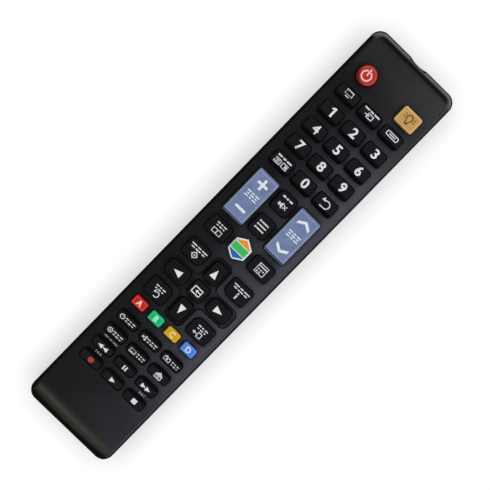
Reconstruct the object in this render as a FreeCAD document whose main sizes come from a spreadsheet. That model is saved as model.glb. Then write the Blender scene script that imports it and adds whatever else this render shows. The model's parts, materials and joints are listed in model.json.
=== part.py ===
import FreeCAD, Part
import math
import os
import re
from typing import NamedTuple

import Sketcher
from FreeCAD import Rotation, Vector

# Hand-held remote control for a television, lying on its back.
# X runs across the face, Y towards the head that is pointed at the set, Z up out of the face.
# The origin is on the rest plane, under the middle of the casing. Lengths are millimetres.

SIZES = {
    # Casing outline
    "body_length": 203.0,
    "body_width": 43.4,
    "casing_corner": 4.8,
    "parting_height": 11.5,
    "parting_step": 0.3,
    "face_crown": 0.6,
    "side_lean": 1.7,
    "head_lean": 3.3,
    "foot_roll": 9.0,
    "face_edge": 0.4,
    "back_round": 7.5,
    "back_head_round": 4.0,
    "back_foot_round": 1.2,
    # Casing walls and the rim that locates one shell in the other
    "shell_wall": 2.0,
    "face_wall": 2.0,
    "floor_wall": 1.8,
    "back_inner_round": 5.2,
    "rim_thickness": 0.85,
    "rim_height": 1.1,
    "rim_clearance": 0.1,
    # Infrared window and emitters
    "window_width": 8.0,
    "window_depth": 1.4,
    "window_clearance": 0.1,
    "scoop_depth": 0.7,
    "scoop_width": 8.6,
    "emitter_diameter": 3.0,
    "emitter_length": 4.4,
    "emitter_flange": 3.8,
    "emitter_flange_length": 0.9,
    "emitter_spacing": 4.4,
    "emitter_lead": 0.5,
    "emitter_lead_spacing": 1.3,
    "emitter_lead_length": 1.6,
    # Circuit board, keypad mat and posts
    "board_thickness": 1.2,
    "board_side_gap": 0.4,
    "board_head_gap": 7.9,
    "board_foot_gap": 4.0,
    "board_corner": 2.0,
    "mat_thickness": 1.0,
    "mat_inset": 1.2,
    "mat_corner": 3.0,
    "post_length": 6.0,
    "post_bite": 0.9,
    "rib_thickness": 1.2,
    "rib_inset": 2.5,
    "rib_end_gap": 6.0,
    # Keys in general
    "key_travel": 1.0,
    "key_clearance": 0.35,
    "key_edge": 0.35,
    "travel_margin": 0.1,
    "contact_gap": 0.15,
    "flange_thickness": 0.8,
    "flange_clearance": 0.25,
    "flange_rim": 0.6,
    "plunger_diameter": 3.4,
    "well_clearance": 0.5,
    "side_margin": 5.2,
    "head_margin": 15.2,
    # Power and light keys
    "power_diameter": 8.2,
    "power_rise": 1.9,
    "light_drop": 1.2,
    "light_width": 9.4,
    "light_length": 7.8,
    "light_corner": 1.3,
    "light_rise": 1.5,
    # Source row and number rows, whose tops slope down towards the head
    "key_width": 9.55,
    "source_length": 5.65,
    "source_gap": 2.7,
    "number_length": 6.15,
    "number_first_gap": 3.5,
    "number_gap": 2.95,
    "number_corner": 1.0,
    "slope_rise": 1.5,
    "slope_low": 0.15,
    # Rockers and the two keys between them
    "rocker_width": 10.45,
    "rocker_length": 22.2,
    "rocker_corner": 0.9,
    "rocker_gap": 3.75,
    "rocker_rise": 1.4,
    "rocker_tilt": 4.0,
    "rocker_reach": 7.0,
    "rocker_ear": 4.0,
    "middle_width": 8.0,
    "middle_length": 8.4,
    "middle_gap": 4.0,
    "middle_corner": 1.4,
    "flat_rise": 1.1,
    # Menu row with the hexagonal home key
    "wide_width": 9.95,
    "menu_length": 7.0,
    "menu_gap": 3.2,
    "menu_corner": 0.9,
    "home_width": 8.3,
    "home_length": 10.1,
    "home_rise": 1.3,
    # Cross block
    "corner_row_gap": 5.4,
    "corner_length": 7.6,
    "corner_large": 2.6,
    "corner_small": 0.9,
    "cross_row_offset": 10.65,
    "cross_side_gap": 3.6,
    "cross_height": 32.1,
    "cross_arm_margin": 1.55,
    "cross_end_margin": 1.9,
    "cross_corner": 2.6,
    "cross_inner_corner": 2.0,
    "cross_depth": 0.9,
    "arrow_length": 8.7,
    "arrow_width": 6.1,
    "side_arrow_width": 10.0,
    "arrow_corner": 1.1,
    "arrow_rise": 0.7,
    "enter_width": 7.1,
    "enter_rise": 0.35,
    # Colour row
    "colour_width": 6.5,
    "colour_length": 4.2,
    "colour_gap": 2.8,
    "colour_corner": 0.9,
    "colour_rise": 1.0,
    # Lower rows, whose tops slope down towards the foot
    "low_length": 4.3,
    "low_first_gap": 3.65,
    "low_gap": 2.75,
    "low_corner": 1.4,
    # Battery lid, its rails and its grip
    "lid_thickness": 1.5,
    "lid_half_width": 13.6,
    "lid_length": 74.0,
    "lid_play": 0.25,
    "tongue_reach": 1.2,
    "tongue_thickness": 0.8,
    "tongue_root": 0.7,
    "deck_thickness": 1.5,
    "deck_round": 2.5,
    "grip_width": 15.0,
    "grip_groove": 0.9,
    "grip_pitch": 2.0,
    "grip_depth": 0.4,
    "grip_inset": 6.0,
    # Battery tray, cells and contacts
    "cell_diameter": 10.5,
    "cell_length": 43.3,
    "cell_nub_diameter": 3.8,
    "cell_nub_length": 1.2,
    "cell_edge": 0.5,
    "cell_play": 0.2,
    "cell_spacing": 11.1,
    "lid_to_cell": 0.4,
    "tray_side_play": 0.5,
    "tray_wall": 1.0,
    "tray_roof": 1.05,
    "tray_head_gap": 6.0,
    "divider_width": 1.4,
    "divider_height": 2.0,
    "contact_plate": 0.4,
    "contact_width": 8.0,
    "contact_height": 8.0,
    "contact_tab_width": 2.0,
    "contact_slot_play": 0.2,
    "dimple_length": 0.7,
    "dimple_diameter": 3.6,
    "spring_length": 5.5,
    "spring_wide": 7.0,
    "spring_narrow": 4.6,
    "spring_wire": 0.7,
    # Parts on the underside of the board
    "chip_width": 13.0,
    "chip_length": 8.0,
    "chip_thickness": 1.6,
    "chip_y": 52.0,
    "capacitor_diameter": 5.0,
    "capacitor_length": 9.0,
    "capacitor_y": 30.0,
    "resonator_width": 7.0,
    "resonator_length": 3.2,
    "resonator_thickness": 3.5,
    "resonator_y": 66.0,
}

GRIP_GROOVES = 6
POST_ROWS = 5
NUMBER_ROW_COUNT = 4
LOW_ROW_COUNT = 4
OVERSHOOT = 5.0
FOOT_ROLL_TURN = 110
UPWARD = 0.5
NEARLY_ZERO = 0.01
SMALL_FACE = 100

doc = FreeCAD.newDocument("remote_control")

sheet = doc.addObject("Spreadsheet::Sheet", "sizes")
for line, (alias, value) in enumerate(SIZES.items(), start=1):
    sheet.set(f"A{line}", alias.replace("_", " "))
    sheet.set(f"B{line}", str(value))
    sheet.setAlias(f"B{line}", alias)

layout = doc.addObject("App::VarSet", "layout")


def size(words):
    """Turn a formula in plain size names into one that refers to the sheet and the layout."""
    def refer(match):
        word = match.group()
        if word in SIZES:
            return f"sizes.{word}"
        return f"layout.{word}" if word in layout.PropertiesList else word
    return re.sub(r"[a-z][a-z_0-9]*", refer, words)


def derive(name, words):
    """Add a place or size to the layout that follows from the driving sizes."""
    layout.addProperty("App::PropertyFloat", name, "Layout")
    layout.setExpression(name, size(words))


def bind(target, prop, words):
    """Make a property follow a formula in size names."""
    target.setExpression(prop, size(words))


def value_of(words):
    """Work out a formula in size names as a number."""
    return float(layout.evalExpression(size(words)))


# Heights, from the rest plane up to the face
derive("cell_bottom", "lid_thickness + lid_to_cell")
derive("tray_ceiling", "cell_bottom + cell_diameter + cell_play")
derive("board_base", "tray_ceiling + tray_roof")
derive("board_top", "board_base + board_thickness")
derive("mat_top", "board_top + mat_thickness")
derive("flange_base", "mat_top + travel_margin + key_travel")
derive("ceiling", "flange_base + flange_thickness + flange_clearance")
derive("face", "ceiling + face_wall")
derive("plunger_tip", "board_top + contact_gap + key_travel")
derive("deck_base", "lid_thickness + tongue_thickness + lid_play")
derive("deck_top", "deck_base + deck_thickness")
derive("ledge_top", "lid_thickness - lid_play")

# Plan of the casing
derive("half_width", "body_width / 2")
derive("half_length", "body_length / 2")
derive("front_half_width", "half_width - parting_step")
derive("front_half_length", "half_length - parting_step")
derive("front_corner", "casing_corner - parting_step")
derive("roll_y", "foot_roll - front_half_length")
derive("roll_z", "face - foot_roll")
derive("inner_half_width", "front_half_width - shell_wall")
derive("inner_half_length", "front_half_length - shell_wall")
derive("board_half_width", "inner_half_width - board_side_gap")
derive("board_head", "inner_half_length - board_head_gap")
derive("board_foot", "board_foot_gap - inner_half_length")
derive("scoop_radius", "(scoop_width * scoop_width / 4 + scoop_depth * scoop_depth) / (2 * scoop_depth)")
derive("scoop_y", "half_length - scoop_depth + scoop_radius")

# Crowned face and the cavity under it
derive("crown_reach", f"front_half_width + {OVERSHOOT}")
derive("crown_radius", "front_half_width * front_half_width / (2 * face_crown)")
derive("crown_drop", "crown_radius - sqrt(crown_radius * crown_radius - crown_reach * crown_reach)")
derive("cavity_foot", "face_wall - front_half_length")
derive("cavity_low", "parting_height - foot_roll")

# Columns of keys
derive("key_reach", "half_width - side_margin")
derive("column", "key_reach - key_width / 2")
derive("light_x", "key_reach - light_width / 2")
derive("rocker_x", "key_reach - rocker_width / 2")
derive("wide_x", "key_reach - wide_width / 2")
derive("colour_outer", "key_reach - colour_width / 2")
derive("colour_inner", "colour_outer / 3")
derive("cross_half_width", "half_width - cross_side_gap")
derive("side_arrow_x", "cross_half_width - cross_end_margin - side_arrow_width / 2")

# Rows of keys, from the head down
derive("power_y", "half_length - head_margin - power_diameter / 2")
derive("light_y", "half_length - head_margin - light_drop - light_length / 2")
derive("source_y", "light_y - light_length / 2 - source_gap - source_length / 2")
derive("number_y_1", "source_y - source_length / 2 - number_first_gap - number_length / 2")
for row in range(2, NUMBER_ROW_COUNT + 1):
    derive(f"number_y_{row}", f"number_y_{row - 1} - number_length - number_gap")
derive("rocker_top", f"number_y_{NUMBER_ROW_COUNT} - number_length / 2 - rocker_gap")
derive("rocker_y", "rocker_top - rocker_length / 2")
derive("mute_y", "rocker_top - middle_length / 2")
derive("list_y", "mute_y - middle_length - middle_gap")
derive("menu_y", "rocker_y - rocker_length / 2 - menu_gap - menu_length / 2")
derive("upper_corner_y", "menu_y - menu_length / 2 - corner_row_gap - corner_length / 2")
derive("cross_y", "upper_corner_y - cross_row_offset")
derive("lower_corner_y", "cross_y - cross_row_offset")
derive("arrow_offset", "cross_height / 2 - cross_end_margin - arrow_length / 2")
derive("colour_y", "lower_corner_y - corner_length / 2 - colour_gap - colour_length / 2")
derive("low_y_1", "colour_y - colour_length / 2 - low_first_gap - low_length / 2")
for row in range(2, LOW_ROW_COUNT + 1):
    derive(f"low_y_{row}", f"low_y_{row - 1} - low_length - low_gap")

# Battery lid and tray, set out from the foot end
derive("lid_head_y", "lid_length - half_length")
derive("tray_head_y", "lid_head_y - tray_head_gap")
derive("tray_half_width", "cell_spacing / 2 + cell_diameter / 2 + tray_side_play")
derive("cell_z", "cell_bottom + cell_diameter / 2")
derive("cell_full_length", "cell_length + cell_nub_length")
derive("tray_length", "2 * contact_plate + dimple_length + cell_full_length + spring_length")
derive("tray_foot_y", "tray_head_y - tray_length")
derive("tongue_half_width", "lid_half_width + tongue_reach")
derive("groove_half_width", "tongue_half_width + lid_play")

doc.recompute()


class Key(NamedTuple):
    """One key: its outline, place and how far its top stands above the face."""

    name: str
    form: str
    width: str
    length: str
    corners: tuple
    x: str
    y: str
    rise: str
    slope: int = 0


# A slope of 1 is highest at the foot side of the key, and of -1 at its head side.


def even(radius):
    """Give all four corners one radius."""
    return (radius,) * 4


def sided(upper, lower):
    """Give the two head side corners one radius and the two foot side corners another."""
    return (upper, upper, lower, lower)


KEYS = [
    Key("key_power", "round", "power_diameter", "power_diameter", (), "- column", "power_y", "power_rise"),
    Key("key_light", "rounded", "light_width", "light_length", even("light_corner"),
        "light_x", "light_y", "light_rise"),
]
for side, name in zip((-1, 0, 1), ("key_tv", "key_source", "key_input")):
    KEYS.append(Key(name, "rounded", "key_width", "source_length", even("number_corner"),
                    f"{side} * column", "source_y", "slope_rise", 1))
NUMBER_ROWS = (("key_1", "key_2", "key_3"), ("key_4", "key_5", "key_6"),
               ("key_7", "key_8", "key_9"), ("key_text", "key_0", "key_previous"))
for row, names in enumerate(NUMBER_ROWS, start=1):
    for side, name in zip((-1, 0, 1), names):
        KEYS.append(Key(name, "rounded", "key_width", "number_length", even("number_corner"),
                        f"{side} * column", f"number_y_{row}", "slope_rise", 1))
KEYS += [
    Key("key_mute", "rounded", "middle_width", "middle_length", even("middle_corner"),
        "0", "mute_y", "flat_rise"),
    Key("key_channel_list", "rounded", "middle_width", "middle_length", even("middle_corner"),
        "0", "list_y", "flat_rise"),
    Key("key_menu", "rounded", "wide_width", "menu_length", even("menu_corner"),
        "- wide_x", "menu_y", "flat_rise"),
    Key("key_home", "hexagon", "home_width", "home_length", (), "0", "menu_y", "home_rise"),
    Key("key_guide", "rounded", "wide_width", "menu_length", even("menu_corner"),
        "wide_x", "menu_y", "flat_rise"),
]
# The corner nearest the cross is the large one: foot side in the upper pair, head side in the lower.
for name, side, row_y, large in (("key_tools", "- wide_x", "upper_corner_y", 3),
                                 ("key_info", "wide_x", "upper_corner_y", 2),
                                 ("key_return", "- wide_x", "lower_corner_y", 0),
                                 ("key_exit", "wide_x", "lower_corner_y", 1)):
    radii = ["corner_small"] * 4
    radii[large] = "corner_large"
    KEYS.append(Key(name, "rounded", "wide_width", "corner_length", tuple(radii), side, row_y, "flat_rise"))
KEYS += [
    Key("key_up", "rounded", "arrow_width", "arrow_length", even("arrow_corner"),
        "0", "cross_y + arrow_offset", "arrow_rise"),
    Key("key_down", "rounded", "arrow_width", "arrow_length", even("arrow_corner"),
        "0", "cross_y - arrow_offset", "arrow_rise"),
    Key("key_left", "rounded", "side_arrow_width", "arrow_width", even("arrow_corner"),
        "- side_arrow_x", "cross_y", "arrow_rise"),
    Key("key_right", "rounded", "side_arrow_width", "arrow_width", even("arrow_corner"),
        "side_arrow_x", "cross_y", "arrow_rise"),
    Key("key_enter", "rounded", "enter_width", "enter_width", even("arrow_corner"),
        "0", "cross_y", "enter_rise"),
]
for name, place in (("key_red", "- colour_outer"), ("key_green", "- colour_inner"),
                    ("key_yellow", "colour_inner"), ("key_blue", "colour_outer")):
    KEYS.append(Key(name, "rounded", "colour_width", "colour_length", even("colour_corner"),
                    place, "colour_y", "colour_rise"))
LOW_ROWS = (("key_history", "key_share", "key_camera"), ("key_support", "key_subtitle", "key_social"),
            ("key_rewind", "key_pause", "key_forward"), ("key_record", "key_play", "key_stop"))
for row, names in enumerate(LOW_ROWS, start=1):
    for side, name in zip((-1, 0, 1), names):
        KEYS.append(Key(name, "rounded", "key_width", "low_length", sided("low_corner", "number_corner"),
                        f"{side} * column", f"low_y_{row}", "slope_rise", -1))
ROCKERS = [
    Key("key_volume", "rounded", "rocker_width", "rocker_length", even("rocker_corner"),
        "- rocker_x", "rocker_y", "rocker_rise"),
    Key("key_channel", "rounded", "rocker_width", "rocker_length", even("rocker_corner"),
        "rocker_x", "rocker_y", "rocker_rise"),
]


def new_body(name):
    """Add an empty body that carries the name of its sub-part."""
    body = doc.addObject("PartDesign::Body", name)
    body.Label = name
    return body


def origin_plane(body, role):
    """Find one of a body's own origin planes."""
    return next(plane for plane in body.Origin.OriginFeatures if plane.Role == role)


def place(target, x="0", y="0", z="0"):
    """Bind a sub-part's position to formulas in size names."""
    for axis, words in (("x", x), ("y", y), ("z", z)):
        bind(target, f"Placement.Base.{axis}", words)


def attach(feature, body, role="XY_Plane", x="0", y="0", z="0"):
    """Lay a sketch or primitive on one of its body's origin planes, moved by an offset."""
    feature.AttachmentSupport = [(origin_plane(body, role), "")]
    feature.MapMode = "FlatFace"
    for axis, words in (("x", x), ("y", y), ("z", z)):
        bind(feature, f"AttachmentOffset.Base.{axis}", words)


def new_sketch(name, body=None, role="XY_Plane", x="0", y="0", z="0"):
    """Add a sketch, in a body or on its own, at an offset from its plane."""
    if body is None:
        sketch = doc.addObject("Sketcher::SketchObject", name)
        place(sketch, x, y, z)
        return sketch
    sketch = body.newObject("Sketcher::SketchObject", name)
    attach(sketch, body, role, x, y, z)
    return sketch


def dimension(sketch, kind, references, words):
    """Add one driving dimension to a sketch and bind it to a formula."""
    number = sketch.addConstraint(Sketcher.Constraint(kind, *references, value_of(words)))
    bind(sketch, f"Constraints[{number}]", words)


def draw_rectangle(sketch, width, length, corners):
    """Draw a rectangle about the sketch origin; corners are radii from the first quadrant on."""
    half_x = value_of(width) / 2
    half_y = value_of(length) / 2
    radii = [value_of(radius) for radius in corners]
    quadrants = ((1, 1), (-1, 1), (-1, -1), (1, -1))
    centres = [Vector(sx * (half_x - radius), sy * (half_y - radius), 0)
               for (sx, sy), radius in zip(quadrants, radii)]
    arcs = []
    for quarter, (centre, radius) in enumerate(zip(centres, radii)):
        start = quarter * math.pi / 2
        circle = Part.Circle(centre, Vector(0, 0, 1), radius)
        arcs.append(Part.ArcOfCircle(circle, start, start + math.pi / 2))
    lines = [Part.LineSegment(arcs[index].EndPoint, arcs[(index + 1) % 4].StartPoint) for index in range(4)]
    first = sketch.GeometryCount
    sketch.addGeometry(arcs + lines, False)
    joins = []
    for index in range(4):
        line = first + 4 + index
        joins.append(Sketcher.Constraint("Tangent", first + index, 2, line, 1))
        joins.append(Sketcher.Constraint("Tangent", line, 2, first + (index + 1) % 4, 1))
    for index, direction in enumerate(("Horizontal", "Vertical", "Horizontal", "Vertical")):
        joins.append(Sketcher.Constraint(direction, first + 4 + index))
    sketch.addConstraint(joins)
    dimension(sketch, "DistanceY", (-1, 1, first + 4, 1), f"( {length} ) / 2")
    dimension(sketch, "DistanceX", (first + 5, 1, -1, 1), f"( {width} ) / 2")
    dimension(sketch, "DistanceY", (first + 6, 1, -1, 1), f"( {length} ) / 2")
    dimension(sketch, "DistanceX", (-1, 1, first + 7, 1), f"( {width} ) / 2")
    for index, radius in enumerate(corners):
        dimension(sketch, "Radius", (first + index,), radius)


def draw_circle(sketch, radius):
    """Draw a circle about the sketch origin."""
    ring = sketch.addGeometry(Part.Circle(Vector(0, 0, 0), Vector(0, 0, 1), value_of(radius)), False)
    sketch.addConstraint(Sketcher.Constraint("Coincident", ring, 3, -1, 1))
    dimension(sketch, "Radius", (ring,), radius)


def draw_profile(sketch, corners, arcs=None):
    """Draw a closed profile through corners; arcs maps an edge number to its centre, radius and turn."""
    arcs = arcs or {}
    points = [Vector(value_of(x), value_of(y), 0) for x, y in corners]
    first = sketch.GeometryCount
    ends = []
    for index, start in enumerate(points):
        finish = points[(index + 1) % len(points)]
        if index not in arcs:
            sketch.addGeometry(Part.LineSegment(start, finish), False)
            ends.append((1, 2))
            continue
        (centre_x, centre_y), radius, turn = arcs[index]
        centre = Vector(value_of(centre_x), value_of(centre_y), 0)
        low, high = (start, finish) if turn > 0 else (finish, start)
        angles = [math.atan2(point.y - centre.y, point.x - centre.x) for point in (low, high)]
        if angles[1] < angles[0]:
            angles[1] += 2 * math.pi
        circle = Part.Circle(centre, Vector(0, 0, 1), value_of(radius))
        sketch.addGeometry(Part.ArcOfCircle(circle, *angles), False)
        ends.append((1, 2) if turn > 0 else (2, 1))
    for index in range(len(points)):
        following = (index + 1) % len(points)
        sketch.addConstraint(Sketcher.Constraint(
            "Coincident", first + index, ends[index][1], first + following, ends[following][0]))
    for index, (x, y) in enumerate(corners):
        dimension(sketch, "DistanceX", (-1, 1, first + index, ends[index][0]), x)
        dimension(sketch, "DistanceY", (-1, 1, first + index, ends[index][0]), y)
    for index, (_, radius, _) in arcs.items():
        dimension(sketch, "Radius", (first + index,), radius)


def draw_hexagon(sketch, width, length):
    """Draw a hexagon about the sketch origin with a point towards the head and the foot."""
    across = f"( {width} ) / 2"
    tall = f"( {length} ) / 2"
    flank = f"( {length} ) / 4"
    draw_profile(sketch, [("0", tall), (f"- {across}", flank), (f"- {across}", f"- {flank}"),
                          ("0", f"- {tall}"), (across, f"- {flank}"), (across, flank)])


def draw_key_outline(sketch, key, grown="0"):
    """Draw a key's outline, grown on every side by a clearance."""
    width = f"{key.width} + 2 * {grown}"
    length = f"{key.length} + 2 * {grown}"
    if key.form == "round":
        draw_circle(sketch, f"( {width} ) / 2")
    elif key.form == "hexagon":
        draw_hexagon(sketch, width, length)
    else:
        draw_rectangle(sketch, width, length, [f"{radius} + {grown}" for radius in key.corners])


def pad(body, sketch, length, symmetric=False, down=False):
    """Raise a sketch into a solid."""
    feature = body.newObject("PartDesign::Pad", f"{sketch.Name}_pad")
    feature.Profile = sketch
    bind(feature, "Length", length)
    feature.SideType = "Symmetric" if symmetric else "One side"
    feature.Reversed = down
    return feature


def pocket(body, sketch, length=None, symmetric=False, reverse=False):
    """Cut a sketch into a solid, through everything where no length is given."""
    feature = body.newObject("PartDesign::Pocket", f"{sketch.Name}_pocket")
    feature.Profile = sketch
    if length is None:
        feature.Type = "ThroughAll"
    else:
        bind(feature, "Length", length)
    feature.SideType = "Symmetric" if symmetric else "One side"
    feature.Reversed = reverse
    return feature


def loft(body, lower, upper):
    """Raise a solid from one sketch to another with straight walls between them."""
    feature = body.newObject("PartDesign::AdditiveLoft", f"{lower.Name}_loft")
    feature.Profile = lower
    feature.Sections = [upper]
    feature.Ruled = True
    return feature


def block(body, name, x_range, y_range, z_range, cut=False):
    """Add or cut a box that spans three ranges, each a pair of formulas."""
    kind = "PartDesign::SubtractiveBox" if cut else "PartDesign::AdditiveBox"
    feature = body.newObject(kind, name)
    for prop, (low, high) in zip(("Length", "Width", "Height"), (x_range, y_range, z_range)):
        bind(feature, prop, f"( {high} ) - ( {low} )")
    attach(feature, body, "XY_Plane", x_range[0], y_range[0], z_range[0])
    return feature


def rod(body, name, radius, length, x="0", y="0", z="0"):
    """Add an upright cylinder."""
    feature = body.newObject("PartDesign::AdditiveCylinder", name)
    bind(feature, "Radius", radius)
    bind(feature, "Height", length)
    attach(feature, body, "XY_Plane", x, y, z)
    return feature


def fillet(body, name, items, radius):
    """Round edges or the whole rim of faces of the body's present shape."""
    solid = body.Tip
    feature = body.newObject("PartDesign::Fillet", name)
    feature.Base = (solid, items)
    bind(feature, "Radius", radius)
    return feature


def highest_face(shape):
    """Name the face that looks up and lies highest."""
    def height(item):
        face = item[1]
        u_min, u_max, v_min, v_max = face.ParameterRange
        normal = face.normalAt((u_min + u_max) / 2, (v_min + v_max) / 2)
        return face.CenterOfMass.z if normal.z > UPWARD else -math.inf
    return f"Face{max(enumerate(shape.Faces, start=1), key=height)[0]}"


def make_cap(key):
    """Raise a key's cap from its flange to its top, sloped where the key is."""
    body = new_body(key.name)
    outline = new_sketch(f"{key.name}_outline", body)
    draw_key_outline(outline, key)
    pad(body, outline, f"face - flange_base + {key.rise}")
    if key.slope:
        run = f"( {key.rise} - slope_low ) / {key.length} * {OVERSHOOT}"
        reach = f"( {key.length} / 2 + {OVERSHOOT} )"
        high = f"face - flange_base + {key.rise} + {run}"
        low = f"face - flange_base + slope_low - {run}"
        slope = new_sketch(f"{key.name}_slope", body, "YZ_Plane")
        draw_profile(slope, [(f"{-key.slope} * {reach}", high), (f"{key.slope} * {reach}", low),
                             (f"{key.slope} * {reach}", f"{high} + {OVERSHOOT}"),
                             (f"{-key.slope} * {reach}", f"{high} + {OVERSHOOT}")])
        pocket(body, slope, symmetric=True)
    place(body, key.x, key.y, "flange_base")
    return body


def make_key(key):
    """Make a key that is pressed straight down: cap, retaining flange and plunger."""
    body = make_cap(key)
    block(body, f"{key.name}_flange",
          (f"- {key.width} / 2 - flange_rim", f"{key.width} / 2 + flange_rim"),
          (f"- {key.length} / 2 - flange_rim", f"{key.length} / 2 + flange_rim"),
          ("0", "flange_thickness"))
    rod(body, f"{key.name}_plunger", "plunger_diameter / 2", "flange_base - plunger_tip",
        z="plunger_tip - flange_base")
    return body


def make_rocker(key):
    """Make a rocker: cap, an ear at each side of its pivot and a plunger under each end."""
    body = make_cap(key)
    block(body, f"{key.name}_ears",
          (f"- {key.width} / 2 - flange_rim", f"{key.width} / 2 + flange_rim"),
          ("- rocker_ear / 2", "rocker_ear / 2"),
          ("0", "flange_thickness - rocker_ear / 2 * tan(rocker_tilt * 1 deg)"))
    for end, sign in (("head", ""), ("foot", "- ")):
        rod(body, f"{key.name}_plunger_{end}", "plunger_diameter / 2", "flange_base - plunger_tip",
            y=f"{sign}rocker_reach", z="plunger_tip - flange_base")
    return body


def make_key_openings():
    """Make the prisms that clear every key through the face."""
    prisms = []
    for key in KEYS + ROCKERS:
        outline = new_sketch(f"{key.name}_opening", x=key.x, y=key.y, z="flange_base")
        draw_key_outline(outline, key, "key_clearance")
        prism = doc.addObject("Part::Extrusion", f"{key.name}_prism")
        prism.Base = outline
        prism.DirMode = "Normal"
        bind(prism, "LengthFwd", "face - flange_base + face_wall")
        prism.Solid = True
        prisms.append(prism)
    openings = doc.addObject("Part::Compound", "key_openings")
    openings.Links = prisms
    return openings


def make_plunger_wells():
    """Make the cylinders that clear every plunger through the mat."""
    wells = []
    places = [(key.name, key.x, key.y) for key in KEYS]
    for key in ROCKERS:
        places.append((f"{key.name}_head", key.x, f"{key.y} + rocker_reach"))
        places.append((f"{key.name}_foot", key.x, f"{key.y} - rocker_reach"))
    for name, x, y in places:
        well = doc.addObject("Part::Cylinder", f"{name}_well")
        bind(well, "Radius", "plunger_diameter / 2 + well_clearance")
        bind(well, "Height", "3 * mat_thickness")
        place(well, x, y, "board_top - mat_thickness")
        wells.append(well)
    cluster = doc.addObject("Part::Compound", "plunger_wells")
    cluster.Links = wells
    return cluster


def cut_scoop(body, name):
    """Hollow the head end in front of the infrared emitters."""
    scoop = new_sketch(f"{name}_scoop", body, y="scoop_y")
    draw_circle(scoop, "scoop_radius")
    pocket(body, scoop, symmetric=True)


def make_front_blank():
    """Make the front shell without its key openings."""
    body = new_body("front_blank")
    plan = new_sketch("front_plan", body, z="parting_height")
    draw_rectangle(plan, "2 * front_half_width", "2 * front_half_length", even("front_corner"))
    brow = new_sketch("front_brow", body, y="- head_lean / 2", z="face")
    draw_rectangle(brow, "2 * ( front_half_width - side_lean )", "2 * front_half_length - head_lean",
                   even("front_corner"))
    loft(body, plan, brow)

    # Crowned face, which rolls over at the foot about an axis across the casing
    crown = new_sketch("front_crown", body, "XZ_Plane", y="roll_z", z="- roll_y")
    draw_profile(crown, [
        ("crown_reach", "foot_roll - crown_drop"),
        ("- crown_reach", "foot_roll - crown_drop"),
        ("- crown_reach", f"foot_roll + {OVERSHOOT}"),
        ("crown_reach", f"foot_roll + {OVERSHOOT}"),
    ], {0: (("0", "foot_roll - crown_radius"), "crown_radius", 1)})
    pocket(body, crown)
    roll = body.newObject("PartDesign::Groove", "foot_roll_groove")
    roll.Profile = crown
    roll.ReferenceAxis = (crown, ["H_Axis"])
    roll.Angle = FOOT_ROLL_TURN
    doc.recompute()
    return body


def finish_front_blank(body):
    """Hollow the front shell and give it its rim seat, cross recess, window opening and posts."""
    cavity = new_sketch("front_cavity", body, "YZ_Plane")
    draw_profile(cavity, [
        ("roll_y", "ceiling"),
        ("cavity_foot", "roll_z"),
        ("cavity_foot", "cavity_low"),
        ("inner_half_length", "cavity_low"),
        ("inner_half_length", "parting_height"),
        ("inner_half_length - head_lean", "ceiling"),
    ], {0: (("roll_y", "roll_z"), "foot_roll - face_wall", 1)})
    pocket(body, cavity, "2 * inner_half_width", symmetric=True)

    seat = new_sketch("front_rim_seat", body, z="parting_height")
    draw_rectangle(seat, "2 * ( inner_half_width + rim_thickness + rim_clearance )",
                   "2 * ( inner_half_length + rim_thickness + rim_clearance )",
                   even("front_corner - rim_thickness"))
    pocket(body, seat, "rim_height + rim_clearance", reverse=True)

    for name, width, length in (
            ("across", "2 * cross_half_width", "arrow_width + 2 * cross_arm_margin"),
            ("along", "arrow_width + 2 * cross_arm_margin", "cross_height")):
        arm = new_sketch(f"cross_{name}", body, y="cross_y", z="face")
        draw_rectangle(arm, width, length, even("cross_corner"))
        pocket(body, arm, "cross_depth")
    doc.recompute()
    round_cross_corners(body)

    block(body, "window_opening",
          ("- window_width / 2 - window_clearance", "window_width / 2 + window_clearance"),
          (f"inner_half_length - head_lean - {OVERSHOOT}", f"front_half_length + {OVERSHOOT}"),
          (f"parting_height - {OVERSHOOT}", "ceiling"), cut=True)
    cut_scoop(body, "front")

    # Posts that hold the board down along both side walls
    posts = new_sketch("front_posts", body, z="board_top")
    inner = "board_half_width - post_bite"
    outer = "inner_half_width + shell_wall / 4"
    for sign in (1, -1):
        for row in range(POST_ROWS):
            centre = f"board_foot + (board_head - board_foot) * {(row + 0.5) / POST_ROWS}"
            draw_profile(posts, [(f"{sign} * ({inner})", f"{centre} - post_length / 2"),
                                 (f"{sign} * ({outer})", f"{centre} - post_length / 2"),
                                 (f"{sign} * ({outer})", f"{centre} + post_length / 2"),
                                 (f"{sign} * ({inner})", f"{centre} + post_length / 2")])
    pad(body, posts, "ceiling + face_wall / 4 - board_top")


def round_cross_corners(body):
    """Round the four upright edges where the arms of the cross recess meet."""
    half_arm = value_of("arrow_width / 2 + cross_arm_margin")
    middle = value_of("cross_y")
    upright = []
    for number, edge in enumerate(body.Tip.Shape.Edges, start=1):
        box = edge.BoundBox
        off_x = abs(abs(box.Center.x) - half_arm)
        off_y = abs(abs(box.Center.y - middle) - half_arm)
        if max(off_x, off_y, box.XLength, box.YLength) < NEARLY_ZERO:
            upright.append(f"Edge{number}")
    fillet(body, "cross_inner_corners", upright, "cross_inner_corner")


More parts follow.
